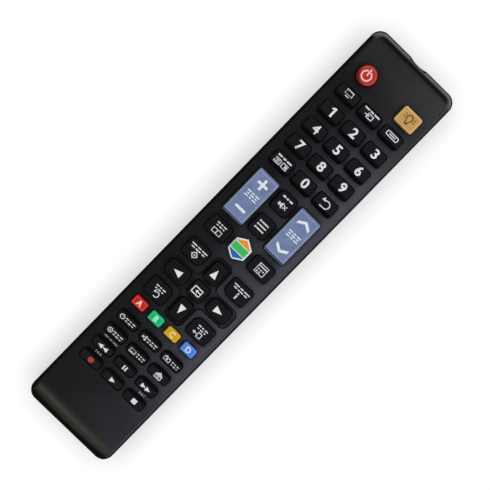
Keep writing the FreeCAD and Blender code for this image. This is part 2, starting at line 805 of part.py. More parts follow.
def round_face_edge(body):
    """Soften the rim of the face, all round the crowned top and the rolled foot."""
    shape = body.Tip.Shape
    lowest_face = value_of("roll_z")
    lowest_edge = value_of("parting_height + face_edge")
    tops = []
    for face in shape.Faces:
        u_min, u_max, v_min, v_max = face.ParameterRange
        normal = face.normalAt((u_min + u_max) / 2, (v_min + v_max) / 2)
        if normal.z > UPWARD and face.BoundBox.ZMax > lowest_face and face.Area > SMALL_FACE:
            tops.append(face)
    shared = [edge.hashCode() for face in tops for edge in face.Edges]
    rim = []
    for number, edge in enumerate(shape.Edges, start=1):
        if shared.count(edge.hashCode()) == 1 and edge.BoundBox.ZMax > lowest_edge:
            rim.append(f"Edge{number}")
    fillet(body, "front_face_edge", rim, "face_edge")


def make_back_shell():
    """Make the back shell with its rim, lid rails, deck, battery tray and board ribs."""
    body = new_body("back_shell")
    section = new_sketch("back_section", body, "XZ_Plane")
    draw_profile(section, [
        ("half_width", "parting_height"),
        ("- half_width", "parting_height"),
        ("- half_width", "back_round"),
        ("back_round - half_width", "0"),
        ("half_width - back_round", "0"),
        ("half_width", "back_round"),
    ], {2: (("back_round - half_width", "back_round"), "back_round", 1),
        4: (("half_width - back_round", "back_round"), "back_round", 1)})
    pad(body, section, "body_length", symmetric=True)

    around = new_sketch("back_plan", body)
    draw_rectangle(around, "body_width", "body_length", even("casing_corner"))
    draw_rectangle(around, f"body_width + 4 * {OVERSHOOT}", f"body_length + 4 * {OVERSHOOT}",
                   even("casing_corner"))
    pocket(body, around, symmetric=True)

    round_back_end(body, "back_head", 1, "back_head_round")
    round_back_end(body, "back_foot", -1, "back_foot_round")

    rim = new_sketch("back_rim", body, z="parting_height")
    draw_rectangle(rim, "2 * ( inner_half_width + rim_thickness )",
                   "2 * ( inner_half_length + rim_thickness - rim_clearance )",
                   even("front_corner - rim_thickness"))
    pad(body, rim, "rim_height")

    block(body, "rim_notch",
          ("- window_width / 2 - window_clearance", "window_width / 2 + window_clearance"),
          (f"inner_half_length - {OVERSHOOT}", "half_length"),
          ("parting_height", f"parting_height + {OVERSHOOT}"), cut=True)

    # Two cavities: a deep one under the head, and a shallow one over the lid
    bulkhead = "lid_head_y + shell_wall"
    cut_back_cavity(body, "head", "floor_wall", "back_inner_round", bulkhead, "inner_half_length")
    cut_back_cavity(body, "lid", "deck_top", "deck_round", "- inner_half_length", bulkhead)

    block(body, "tray_box",
          ("- tray_half_width - tray_wall", "tray_half_width + tray_wall"),
          ("tray_foot_y - tray_wall", "tray_head_y + tray_wall"),
          ("deck_base", "board_base"))
    block(body, "tray_room", ("- tray_half_width", "tray_half_width"), ("tray_foot_y", "tray_head_y"),
          ("- lid_thickness", "tray_ceiling"), cut=True)
    block(body, "tray_divider", ("- divider_width / 2", "divider_width / 2"),
          ("tray_foot_y", "tray_head_y"), ("tray_ceiling - divider_height", "board_base"))

    # Rails: a narrow way for the plate, and a wider groove above it for the tongues
    way = (f"- half_length - {OVERSHOOT}", "lid_head_y + lid_play")
    block(body, "lid_way", ("- lid_half_width - lid_play", "lid_half_width + lid_play"), way,
          ("- lid_thickness", "ledge_top + lid_play"), cut=True)
    block(body, "lid_groove", ("- groove_half_width", "groove_half_width"), way,
          ("ledge_top", "deck_base"), cut=True)

    for side, sign in (("left", -1), ("right", 1)):
        for end, y_low, y_high in (
                ("head", "tray_head_y - contact_plate - contact_slot_play", "tray_head_y"),
                ("foot", "tray_foot_y", "tray_foot_y + contact_plate + contact_slot_play")):
            middle = f"{sign} * cell_spacing / 2"
            block(body, f"tab_slot_{side}_{end}",
                  (f"{middle} - contact_tab_width / 2 - contact_slot_play",
                   f"{middle} + contact_tab_width / 2 + contact_slot_play"),
                  (y_low, y_high), ("tray_ceiling - contact_plate", "board_base + contact_plate"), cut=True)
        near = f"{sign} * ( board_half_width - rib_inset ) - rib_thickness / 2"
        block(body, f"board_rib_{side}", (near, f"{near} + rib_thickness"),
              (f"{bulkhead} + rib_end_gap", "board_head - rib_end_gap"),
              ("floor_wall / 2", "board_base"))
    cut_scoop(body, "back")
    return body


def round_back_end(body, name, sign, radius):
    """Round the lower edge of one end of a body that rests on its back."""
    profile = new_sketch(f"{name}_round", body, "YZ_Plane")
    far = f"{sign} * half_length"
    near = f"{sign} * ( half_length - {radius} )"
    out = f"{sign} * ( half_length + {OVERSHOOT} )"
    draw_profile(profile, [(near, "0"), (far, radius), (out, radius), (out, f"- {OVERSHOOT}"),
                           (near, f"- {OVERSHOOT}")],
                 {0: ((near, radius), radius, sign)})
    pocket(body, profile, symmetric=True)


def cut_back_cavity(body, name, floor, corner, y_low, y_high):
    """Hollow one length of the back shell down to a floor with rounded sides."""
    cavity = new_sketch(f"back_cavity_{name}", body, "XZ_Plane", z=f"- ( {y_low} )")
    draw_profile(cavity, [
        ("inner_half_width", f"parting_height + {OVERSHOOT}"),
        ("- inner_half_width", f"parting_height + {OVERSHOOT}"),
        ("- inner_half_width", f"{floor} + {corner}"),
        (f"{corner} - inner_half_width", floor),
        (f"inner_half_width - {corner}", floor),
        ("inner_half_width", f"{floor} + {corner}"),
    ], {2: ((f"{corner} - inner_half_width", f"{floor} + {corner}"), corner, 1),
        4: ((f"inner_half_width - {corner}", f"{floor} + {corner}"), corner, 1)})
    pocket(body, cavity, f"( {y_high} ) - ( {y_low} )")


def make_battery_lid():
    """Make the sliding lid: plate, a tongue at each side, grip grooves and an arrow."""
    body = new_body("battery_lid")
    block(body, "lid_plate", ("- lid_half_width", "lid_half_width"), ("- half_length", "lid_head_y"),
          ("0", "lid_thickness"))
    for side, sign in (("left", -1), ("right", 1)):
        edges = ("lid_half_width - tongue_root", "tongue_half_width")
        x_range = edges if sign > 0 else (f"- ({edges[1]})", f"- ({edges[0]})")
        block(body, f"lid_tongue_{side}", x_range, ("- half_length", "lid_head_y"),
              ("lid_thickness", "lid_thickness + tongue_thickness"))
    round_back_end(body, "lid_foot", -1, "back_foot_round")
    for groove in range(GRIP_GROOVES):
        top = f"lid_head_y - grip_inset - {groove} * grip_pitch"
        block(body, f"grip_groove_{groove + 1}", ("- grip_width / 2", "grip_width / 2"),
              (f"{top} - grip_groove", top), ("- grip_depth", "grip_depth"), cut=True)
    arrow_y = f"lid_head_y - grip_inset - {GRIP_GROOVES + 1} * grip_pitch"
    arrow = new_sketch("lid_arrow", body)
    draw_profile(arrow, [("- 2 * grip_pitch", arrow_y), ("0", f"{arrow_y} - 2 * grip_pitch"),
                         ("2 * grip_pitch", arrow_y)])
    pocket(body, arrow, "grip_depth", reverse=True)
    return body


def make_front_shell(blank):
    """Cut the key openings through the front shell."""
    shell = doc.addObject("Part::Cut", "front_shell")
    shell.Label = "front_shell"
    shell.Base = blank
    shell.Tool = make_key_openings()
    return shell


def make_window():
    """Make the dark window that fills the opening in the head wall."""
    body = new_body("ir_window")
    block(body, "window_block",
          ("- window_width / 2", "window_width / 2"),
          ("inner_half_length - window_depth", "half_length"),
          ("parting_height", "ceiling - window_clearance"))

    # The outer side leans back with the head end wall, a little way in from it
    rise = "( face - parting_height )"
    slope = new_sketch("window_slope", body, "YZ_Plane")
    draw_profile(slope, [
        ("front_half_length - parting_step + head_lean", f"parting_height - {rise}"),
        (f"front_half_length + head_lean + {OVERSHOOT}", f"parting_height - {rise}"),
        (f"front_half_length + head_lean + {OVERSHOOT}", f"face + {rise}"),
        ("front_half_length - parting_step - 2 * head_lean", f"face + {rise}"),
    ])
    pocket(body, slope, symmetric=True)
    cut_scoop(body, "window")
    return body


def make_board():
    """Make the circuit board."""
    body = new_body("circuit_board")
    outline = new_sketch("board_outline", body)
    draw_rectangle(outline, "2 * board_half_width", "board_head - board_foot", even("board_corner"))
    pad(body, outline, "board_thickness")
    place(body, y="( board_head + board_foot ) / 2", z="board_base")
    return body


def make_mat():
    """Make the rubber mat that lies on the board, with a well under every plunger."""
    sheet_body = new_body("mat_sheet")
    outline = new_sketch("mat_outline", sheet_body)
    draw_rectangle(outline, "2 * ( board_half_width - mat_inset )", "board_head - board_foot - 2 * mat_inset",
                   even("mat_corner"))
    pad(sheet_body, outline, "mat_thickness")
    place(sheet_body, y="( board_head + board_foot ) / 2", z="board_top")
    mat = doc.addObject("Part::Cut", "keypad_mat")
    mat.Label = "keypad_mat"
    mat.Base = sheet_body
    mat.Tool = make_plunger_wells()
    return mat


def make_group(name, members):
    """Join separate solids into one named sub-part."""
    group = doc.addObject("Part::Compound", name)
    group.Label = name
    group.Links = members
    return group


def make_emitters():
    """Make the two emitters, which lie in front of the board with their leads on top of it."""
    members = []
    for side, sign in (("left", -1), ("right", 1)):
        body = new_body(f"emitter_{side}")
        lens = "emitter_length - emitter_diameter / 2"
        rod(body, f"emitter_{side}_barrel", "emitter_diameter / 2", lens)
        dome = body.newObject("PartDesign::AdditiveSphere", f"emitter_{side}_dome")
        bind(dome, "Radius", "emitter_diameter / 2")
        attach(dome, body, z=lens)
        rod(body, f"emitter_{side}_flange", "emitter_flange / 2", "emitter_flange_length",
            z="- emitter_flange_length")
        for lead, lead_sign in (("near", -1), ("far", 1)):
            middle = f"{lead_sign} * emitter_lead_spacing / 2"
            block(body, f"emitter_{side}_lead_{lead}",
                  (f"{middle} - emitter_lead / 2", f"{middle} + emitter_lead / 2"),
                  ("0", "emitter_lead"),
                  ("- emitter_flange_length - emitter_lead_length", "- emitter_flange_length"))
        # The barrel points to the head, and the leads lie on the board
        body.Placement.Rotation = Rotation(Vector(1, 0, 0), -90) * Rotation(Vector(0, 0, 1), 180)
        place(body, f"{sign} * emitter_spacing / 2", "board_head + emitter_flange_length + emitter_lead",
              "board_top")
        members.append(body)
    return make_group("ir_emitters", members)


def make_cells():
    """Make the two cells, which lie side by side and point opposite ways."""
    members = []
    for side, sign in (("left", -1), ("right", 1)):
        body = new_body(f"cell_{side}")
        rod(body, f"cell_{side}_can", "cell_diameter / 2", "cell_length")
        doc.recompute()
        rims = [f"Edge{number}" for number, edge in enumerate(body.Tip.Shape.Edges, start=1)
                if edge.Closed and isinstance(edge.Curve, Part.Circle)]
        fillet(body, f"cell_{side}_rims", rims, "cell_edge")
        rod(body, f"cell_{side}_nub", "cell_nub_diameter / 2", "cell_nub_length", z="cell_length")
        # The left cell points to the head and the right one to the foot
        body.Placement.Rotation = Rotation(Vector(1, 0, 0), 90 * sign)
        if sign < 0:
            start = "tray_foot_y + contact_plate + spring_length"
        else:
            start = "tray_head_y - contact_plate - spring_length"
        place(body, f"{sign} * cell_spacing / 2", start, "cell_z")
        members.append(body)
    return make_group("battery_cells", members)


def make_contact(name, sign, at_head, sprung):
    """Make one battery contact on an end wall of the tray, with its spring or its dimple."""
    body = new_body(name)
    block(body, f"{name}_plate", ("- contact_width / 2", "contact_width / 2"),
          ("- contact_height / 2", "contact_height / 2"), ("0", "contact_plate"))
    block(body, f"{name}_tab", ("- contact_tab_width / 2", "contact_tab_width / 2"),
          ("0", "board_base - cell_z"), ("0", "contact_plate"))
    if sprung:
        for kind, shrink in (("Additive", "0"), ("Subtractive", "spring_wire")):
            cone = body.newObject(f"PartDesign::{kind}Cone", f"{name}_{kind.lower()}_cone")
            bind(cone, "Radius1", f"spring_wide / 2 - {shrink}")
            bind(cone, "Radius2", f"spring_narrow / 2 - {shrink}")
            bind(cone, "Height", "spring_length")
            attach(cone, body, z="contact_plate")
    else:
        rod(body, f"{name}_dimple", "dimple_diameter / 2", "dimple_length", z="contact_plate")
    # The contact faces along the tray, away from the wall that carries it
    turn = Rotation(Vector(1, 0, 0), 90)
    if not at_head:
        turn = Rotation(Vector(0, 0, 1), 180) * turn
    body.Placement.Rotation = turn
    place(body, f"{sign} * cell_spacing / 2", "tray_head_y" if at_head else "tray_foot_y", "cell_z")
    return body


def make_board_parts():
    """Make the parts that hang under the head half of the board."""
    chip = doc.addObject("Part::Box", "chip")
    resonator = doc.addObject("Part::Box", "resonator")
    for item, name in ((chip, "chip"), (resonator, "resonator")):
        bind(item, "Length", f"{name}_width")
        bind(item, "Width", f"{name}_length")
        bind(item, "Height", f"{name}_thickness")
        place(item, f"- {name}_width / 2", f"{name}_y - {name}_length / 2", f"board_base - {name}_thickness")
    capacitor = doc.addObject("Part::Cylinder", "capacitor")
    bind(capacitor, "Radius", "capacitor_diameter / 2")
    bind(capacitor, "Height", "capacitor_length")
    capacitor.Placement.Rotation = Rotation(Vector(1, 0, 0), -90)
    place(capacitor, "0", "capacitor_y - capacitor_length / 2", "board_base - capacitor_diameter / 2")
    return make_group("board_components", [chip, resonator, capacitor])


def main():
    """Build every sub-part, check it and write it to its own file."""
    caps = [make_key(key) for key in KEYS] + [make_rocker(key) for key in ROCKERS]
    doc.recompute()
    for body in caps:
        fillet(body, f"{body.Name}_rim", [highest_face(body.Tip.Shape)], "key_edge")

    blank = make_front_blank()
    round_face_edge(blank)
    finish_front_blank(blank)
    parts = caps + [
        make_front_shell(blank),
        make_back_shell(),
        make_battery_lid(),
        make_window(),
        make_board(),
        make_mat(),
        make_emitters(),
        make_cells(),
        make_group("spring_contacts", [make_contact("spring_left", -1, False, True),
                                       make_contact("spring_right", 1, True, True)]),
        make_group("plate_contacts", [make_contact("plate_left", -1, True, False),
                                      make_contact("plate_right", 1, False, False)]),
        make_board_parts(),
    ]
    doc.recompute()

    for item in doc.Objects:
        if "Invalid" in item.State or "Error" in item.State:
            raise RuntimeError(f"{item.Label} did not build: {item.State}")
    os.makedirs("parts", exist_ok=True)
    for item in parts:
        if item.Shape.isNull() or not item.Shape.isValid():
            raise RuntimeError(f"{item.Label} has no valid shape")
        print(f"{item.Label}: {len(item.Shape.Solids)} solid(s), {item.Shape.Volume:.1f} mm3")
    for item in parts:
        item.Shape.exportStep(f"parts/{item.Label}.step")


main()
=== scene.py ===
"""Looks of a hand-held television remote control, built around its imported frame.

The frame holds every rigid piece at its real size. This script gives each one a finish, prints
the legends on the keys, lays the inlays of the home key, winds the battery springs, turns the
two cells, and sets up the studio. The frame is in metres; legends are drawn in millimetres.
"""

import json
import logging
import math
from collections.abc import Iterator, Sequence
from contextlib import contextmanager
from dataclasses import dataclass, field, replace
from enum import Enum
from typing import Callable, Optional, Union

import bpy
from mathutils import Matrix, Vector

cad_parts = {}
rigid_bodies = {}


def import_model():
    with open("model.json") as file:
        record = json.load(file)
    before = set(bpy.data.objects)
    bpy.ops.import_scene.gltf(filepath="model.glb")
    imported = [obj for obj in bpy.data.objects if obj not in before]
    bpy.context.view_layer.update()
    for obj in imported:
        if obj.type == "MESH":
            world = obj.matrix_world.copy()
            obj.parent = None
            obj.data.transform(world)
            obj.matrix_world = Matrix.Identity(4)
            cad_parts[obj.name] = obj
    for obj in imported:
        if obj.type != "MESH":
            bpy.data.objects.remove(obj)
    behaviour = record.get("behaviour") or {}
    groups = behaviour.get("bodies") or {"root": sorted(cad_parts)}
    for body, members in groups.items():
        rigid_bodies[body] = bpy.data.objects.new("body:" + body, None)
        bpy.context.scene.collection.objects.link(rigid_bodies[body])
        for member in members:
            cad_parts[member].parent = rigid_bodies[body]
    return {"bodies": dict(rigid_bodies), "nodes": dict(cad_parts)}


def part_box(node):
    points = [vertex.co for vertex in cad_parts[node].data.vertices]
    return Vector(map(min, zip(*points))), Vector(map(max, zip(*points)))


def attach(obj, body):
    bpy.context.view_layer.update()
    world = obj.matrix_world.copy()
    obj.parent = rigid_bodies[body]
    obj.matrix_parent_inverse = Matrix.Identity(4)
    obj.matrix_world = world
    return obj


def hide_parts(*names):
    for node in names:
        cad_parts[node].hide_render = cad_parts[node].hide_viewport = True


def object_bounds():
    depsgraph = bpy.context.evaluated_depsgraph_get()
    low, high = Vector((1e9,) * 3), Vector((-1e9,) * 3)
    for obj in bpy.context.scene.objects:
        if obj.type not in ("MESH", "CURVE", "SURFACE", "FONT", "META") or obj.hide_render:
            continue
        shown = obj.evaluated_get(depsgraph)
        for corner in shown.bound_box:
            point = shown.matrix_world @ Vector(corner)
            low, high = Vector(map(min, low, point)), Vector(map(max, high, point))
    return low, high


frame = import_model()
CAD_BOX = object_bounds()

MM = 0.001
HALF = 0.5
MERGED = 0.001
KEY_FLANGE = 0.6
CAPTION_SHARES = ((0.36, 0.24, 0.40), (0.28, 0.46, 0.26))
CAPTION_GAP = 0.45
CAPTION_LENGTHS = (1.0, 0.86)
Colour = tuple[float, float, float]
Span = tuple[float, float]
Piece = bpy.types.Object
Test = Callable[[Vector, Vector], bool]
log = logging.getLogger("remote_control")


def span(low: float, high: float) -> Span:
    """Give a range in metres from its limits in millimetres."""
    return low * MM, high * MM


def operator(operation: str, swapped: bool = False) -> Callable:
    """Make a Python operator that adds one Math node.

    Args:
        operation: The Math node's operation.
        swapped: Whether the signal is the second value.

    Returns:
        The method for that operator.
    """
    def method(signal: "Signal", other: "Term" = 0.0) -> "Signal":
        """Add the node."""
        first, second = (other, signal) if swapped else (signal, other)
        return signal.shader.add("ShaderNodeMath", {"operation": operation}, {0: first, 1: second})
    return method


class Signal:
    """One value in a shader, which turns Python arithmetic into Math nodes."""

    def __init__(self, shader: "Shader", socket: bpy.types.NodeSocket) -> None:
        """Wrap the output socket that carries the value."""
        self.shader = shader
        self.socket = socket

    __add__ = operator("ADD")
    __radd__ = operator("ADD", True)
    __sub__ = operator("SUBTRACT")
    __rsub__ = operator("SUBTRACT", True)
    __mul__ = operator("MULTIPLY")
    __rmul__ = operator("MULTIPLY", True)
    __gt__ = operator("GREATER_THAN")
    __abs__ = operator("ABSOLUTE")
    root = operator("SQRT")
    least = operator("MINIMUM")
    most = operator("MAXIMUM")


Term = Union[Signal, float]
Value = Union[Signal, float, Colour]
Sockets = dict[str, Value]


class Shader:
    """The nodes of one material or sky, built round its single surface or background node."""

    def __init__(self, owner: Union[bpy.types.Material, bpy.types.World]) -> None:
        """Start from the nodes that the owner has at first.

        Args:
            owner: The material or the world.
        """
        owner.use_nodes = True
        self.owner = owner
        self.tree = owner.node_tree
        self.surface = self.tree.nodes.get("Principled BSDF") or self.tree.nodes["Background"]

    def node(self, kind: str, settings: dict, inputs: dict) -> bpy.types.Node:
        """Add a node, set it up and feed its sockets.

        Args:
            kind: The node's type.
            settings: The node's own settings.
            inputs: Values or signals for its sockets, by name or number.

        Returns:
            The node.
        """
        node = self.tree.nodes.new(kind)
        for name, value in settings.items():
            setattr(node, name, value)
        for key, value in inputs.items():
            self.feed(node.inputs[key], value)
        return node

    def add(self, kind: str, settings: dict, inputs: dict, output: Union[int, str] = 0) -> Signal:
        """Add a node and give one of its outputs, by name or number."""
        return Signal(self, self.node(kind, settings, inputs).outputs[output])

    def feed(self, socket: bpy.types.NodeSocket, value: Value) -> None:
        """Link a signal to a socket, or set a plain value on it.

        Args:
            socket: The input.
            value: The signal, number or colour.
        """
        if isinstance(value, Signal):
            self.tree.links.new(value.socket, socket)
        elif isinstance(value, tuple) and len(value) < len(socket.default_value):
            socket.default_value = (*value, 1.0)
        else:
            socket.default_value = value

    def place(self, kind: str = "Object") -> Signal:
        """Give the place on the object in metres, or another kind of coordinate."""
        return self.add("ShaderNodeTexCoord", {}, {}, kind)

    def ray(self, kind: str) -> Signal:
        """Tell whether the light path is of a kind."""
        return self.add("ShaderNodeLightPath", {}, {}, f"Is {kind} Ray")

    def openness(self, reach: float, toward: Optional[Colour] = None) -> Signal:
        """Give how little stands close to a surface, all round or towards one side.

        Args:
            reach: How far to look, in metres.
            toward: The way to look, of length one.

        Returns:
            A value from nought to one.
        """
        near = self.node("ShaderNodeAmbientOcclusion", {"samples": 12}, {"Distance": reach})
        if toward is not None:
            self.feed(near.inputs["Normal"], self.add("ShaderNodeCombineXYZ", {}, dict(enumerate(toward))))
        return Signal(self, near.outputs["AO"])

    def axes(self, place: Signal) -> tuple[Signal, Signal, Signal]:
        """Split a place into its three coordinates."""
        node = self.node("ShaderNodeSeparateXYZ", {}, {0: place})
        return tuple(Signal(self, socket) for socket in node.outputs)

    def noise(self, place: Signal, grain: float, detail: float = 2.0) -> Signal:
        """Give a cloudy pattern from nought to one, with blots of a size in metres and finer layers."""
        return self.add("ShaderNodeTexNoise", {}, {"Vector": place, "Scale": 1.0 / grain, "Detail": detail})

    def ease(self, value: Signal, low: float, high: float) -> Signal:
        """Rise smoothly from nought at one limit to one at the other."""
        limits = {"Value": value, "From Min": low, "From Max": high}
        return self.add("ShaderNodeMapRange", {"interpolation_type": "SMOOTHSTEP"}, limits)

    def blend(self, share: Term, first: Value, second: Value) -> Signal:
        """Mix two colours by a share of the second."""
        return self.add("ShaderNodeMix", {"data_type": "RGBA"}, {0: share, 6: first, 7: second}, 2)

    def relief(self, height: Signal, depth: float) -> Signal:
        """Turn a height pattern into bumps of a depth in metres."""
        return self.add("ShaderNodeBump", {}, {"Height": height, "Distance": depth})

    def finish(self, values: Sockets) -> Union[bpy.types.Material, bpy.types.World]:
        """Feed the surface's sockets and hand over its owner.

        Args:
            values: What each socket gets.

        Returns:
            The material or the world.
        """
        for name, value in values.items():
            self.feed(self.surface.inputs[name], value)
        return self.owner

    def dull(self, share: Signal, colour: Value) -> None:
        """Mix in a share of a second surface of some colour, without any shine.

        Args:
            share: How much of the second surface shows.
            colour: Its colour.
        """
        matt = self.node("ShaderNodeBsdfPrincipled", {}, {
            "Base Color": colour, "Roughness": 1.0, "Specular IOR Level": 0.0})
        mix = self.node("ShaderNodeMixShader", {}, {"Fac": share})
        self.tree.links.new(self.surface.outputs["BSDF"], mix.inputs[1])
        self.tree.links.new(matt.outputs["BSDF"], mix.inputs[2])
        self.tree.links.new(mix.outputs["Shader"], self.tree.nodes["Material Output"].inputs["Surface"])


@dataclass(frozen=True)
class Finish:
    """A procedural finish, which each kind wires in its own way."""

    name: str

    def build(self) -> bpy.types.Material:
        """Make the material."""
        shader = Shader(bpy.data.materials.new(self.name))
        return shader.finish(self.wire(shader, shader.place()))

    def wire(self, shader: Shader, place: Signal) -> Sockets:
        """Wire the patterns of this finish.

        Args:
            shader: The shader to build in.
            place: The place on the object.

        Returns:
            What each socket of the surface gets.
        """
        raise NotImplementedError


@dataclass(frozen=True)
class MouldedPlastic(Finish):
    """Black casing plastic with a spark-eroded grain, with painted light: a painted reflection that makes the
    face paler and bluer towards its right side, painted light in the tones of its ends, a painted highlight
    on the foot's roll, and painted shade on its walls, along the head edge, round the keys and between them.
    """

    name: str = "moulded_casing"
    middle: Colour = (0.0048, 0.0048, 0.0064)
    # head and foot: painted light, the ends' tones under the light that falls on them, lighter and olive at
    # the head, a little paler and less blue at the foot.
    head: Colour = (0.0158, 0.0161, 0.0142)
    foot: Colour = (0.0056, 0.0057, 0.0062)
    # lighter: painted reflection, the paler bluer tone that the face takes towards its right side.
    lighter: Colour = (0.0670, 0.0680, 0.0900)
    # wall: the dark tone of the painted shade on the walls, along the head edge, round the keys and between
    # them.
    wall: Colour = (0.0030, 0.0031, 0.0034)
    # band: painted highlight, an olive stripe on the foot's roll.
    band: Colour = (0.0195, 0.0220, 0.0135)
    roughness: float = 0.42
    specular: float = 0.20
    grain: float = 0.22 * MM
    grain_detail: float = 3.0
    grain_depth: float = 0.012 * MM
    grain_shine: float = 0.12
    patch: float = 9.0 * MM
    patch_detail: float = 4.0
    patch_shine: float = 0.10
    mottle: float = 0.04
    mottle_range: Span = (0.3, 0.9)
    mottle_even: float = 0.4
    ends: Span = span(76.0, 92.0)
    # pale, its height and its ends, and fade: where the painted reflection lies, strongest mid-length on the
    # face's top.
    pale: Span = span(-15.0, 40.0)
    pale_up: Span = span(16.2, 18.9)
    pale_at_ends: float = 0.25
    fade: Span = span(48.0, 80.0)
    face_up: Span = span(17.2, 18.9)
    back_up: Span = span(9.5, 12.0)
    # Where the painted highlight lies on the foot's roll, along and in height.
    band_starts: Span = span(91.6, 94.7)
    band_ends: Span = span(95.0, 97.0)
    band_up: Span = span(12.0, 17.2)
    # left, right and right_share: painted shade, a matt dark surface over the face's long edges.
    left: Span = span(-20.2, -19.0)
    right: Span = span(19.0, 19.9)
    right_share: float = 0.60
    matt_share: float = 0.84
    matt_more: float = 0.13
    # toe: more painted shade on the lowest part of the foot's roll.
    toe: Span = span(96.0, 98.6)
    # Painted shade round the keys, where little is open within this reach.
    well_reach: float = 2.6 * MM
    well: Span = (0.48, 0.97)
    # Painted shadow on the face between keys that stand on both sides across it, partly as the matt dark
    # surface.
    gap_reach: float = 4.0 * MM
    gap_sides: tuple[Colour, Colour] = ((-0.7071, 0.0, 0.7071), (0.7071, 0.0, 0.7071))
    gap_open: Span = (0.58, 0.74)
    gap_up: Span = span(16.2, 18.0)
    gap_matt: float = 0.50
    # Painted shade along the top of the head end's slope.
    brow: Span = span(95.6, 97.8)
    brow_up: Span = span(15.5, 18.4)

    def wire(self, shader: Shader, place: Signal) -> Sockets:
        """Grade the tone over the face with painted light, and dull the walls, the toe and the wells round
        the keys, darkening them and the face between keys as painted shade.
        """
        across, along, up = shader.axes(place)
        footward = 0.0 - along
        grain = shader.noise(place, self.grain, self.grain_detail)
        patches = shader.noise(place, self.patch, self.patch_detail)
        # The ends' tones are painted light.
        tone = shader.blend(shader.ease(along, *self.ends), self.middle, self.head)
        tone = shader.blend(shader.ease(footward, *self.ends), tone, self.foot)
        # Painted reflection towards the right side of the face's top.
        fade = shader.ease(abs(along), *self.fade) * (1.0 - self.pale_at_ends)
        pale = shader.ease(across, *self.pale) * (1.0 - fade) * shader.ease(up, *self.pale_up)
        mottle = (shader.ease(patches, *self.mottle_range) - self.mottle_even) * self.mottle
        # Painted shade along the head edge.
        brow = shader.ease(along, *self.brow)
        colour = shader.blend(brow, shader.blend(pale + mottle, tone, self.lighter), self.wall)
        # Painted highlight on the foot's roll.
        band = shader.ease(footward, *self.band_starts) * (1.0 - shader.ease(footward, *self.band_ends))
        colour = shader.blend(band * shader.ease(up, *self.band_up), colour, self.band)
        # Painted shade round the keys.
        colour = shader.blend(shader.ease(shader.openness(self.well_reach), *self.well), self.wall, colour)
        # Painted shadow between keys across the face, from how open it is to the left and to the right.
        beside = [shader.openness(self.gap_reach, side) for side in self.gap_sides]
        gap_shadow = 1.0 - shader.ease(beside[0].most(beside[1]), *self.gap_open)
        gap_shadow = gap_shadow * shader.ease(up, *self.gap_up)
        colour = shader.blend(gap_shadow, colour, self.wall)
        # Painted shade: a matt dark surface mixed in over the walls, the long edges, the toe, the head edge
        # and between keys, in place of their shine.
        left = 1.0 - shader.ease(across, *self.left)
        right = shader.ease(across, *self.right) * self.right_share
        wall = (1.0 - shader.ease(up, *self.face_up)).most(left).most(right) * shader.ease(up, *self.back_up)
        more = left.most(shader.ease(footward, *self.toe)) * self.matt_more
        share = more * (1.0 - brow) + self.matt_share
        share = (wall * (1.0 - brow) + shader.ease(up, *self.brow_up) * brow) * share
        shader.dull(share.most(gap_shadow * self.gap_matt), self.wall)
        return {
            "Base Color": colour,
            "Roughness": (self.roughness + (patches - HALF) * self.patch_shine
                          + (grain - HALF) * self.grain_shine),
            "Specular IOR Level": self.specular,
            "Normal": shader.relief(grain, self.grain_depth),
        }


def middle_of(node: str) -> tuple[float, float]:
    """Give the middle of a node in plan, in metres."""
    low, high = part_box(node)
    return (low.x + high.x) / 2.0, (low.y + high.y) / 2.0


@dataclass(frozen=True)
class Cap:
    """The plan of the visible part of one key, which places the painted highlight and shade of its finish."""

    x: float
    y: float
    half_width: float
    half_length: float
    is_round: bool

    @classmethod
    def of(cls, node: str, is_round: bool) -> "Cap":
        """Read the plan of a key from the frame, without the rim that the casing hides.

        Args:
            node: The key's node.
            is_round: Whether the plan is round.

        Returns:
            The plan.
        """
        low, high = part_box(node)
        half_width, half_length = ((high[axis] - low[axis]) / 2.0 - KEY_FLANGE * MM for axis in (0, 1))
        return cls(*middle_of(node), half_width, half_length, is_round)

    def depth(self, across: Signal, along: Signal, shift: float) -> Signal:
        """Give how far inside the edge a point lies, once the plan is moved right and headward.

        Args:
            across: The first coordinate of the point.
            along: The second coordinate of the point.
            shift: How far the plan is moved each way, in metres.

        Returns:
            The depth in metres, below nought outside the plan.
        """
        aside = abs(across - (self.x + shift))
        ahead = abs(along - (self.y + shift))
        if self.is_round:
            return self.half_width - (aside * aside + ahead * ahead).root()
        return (self.half_width - aside).least(self.half_length - ahead)


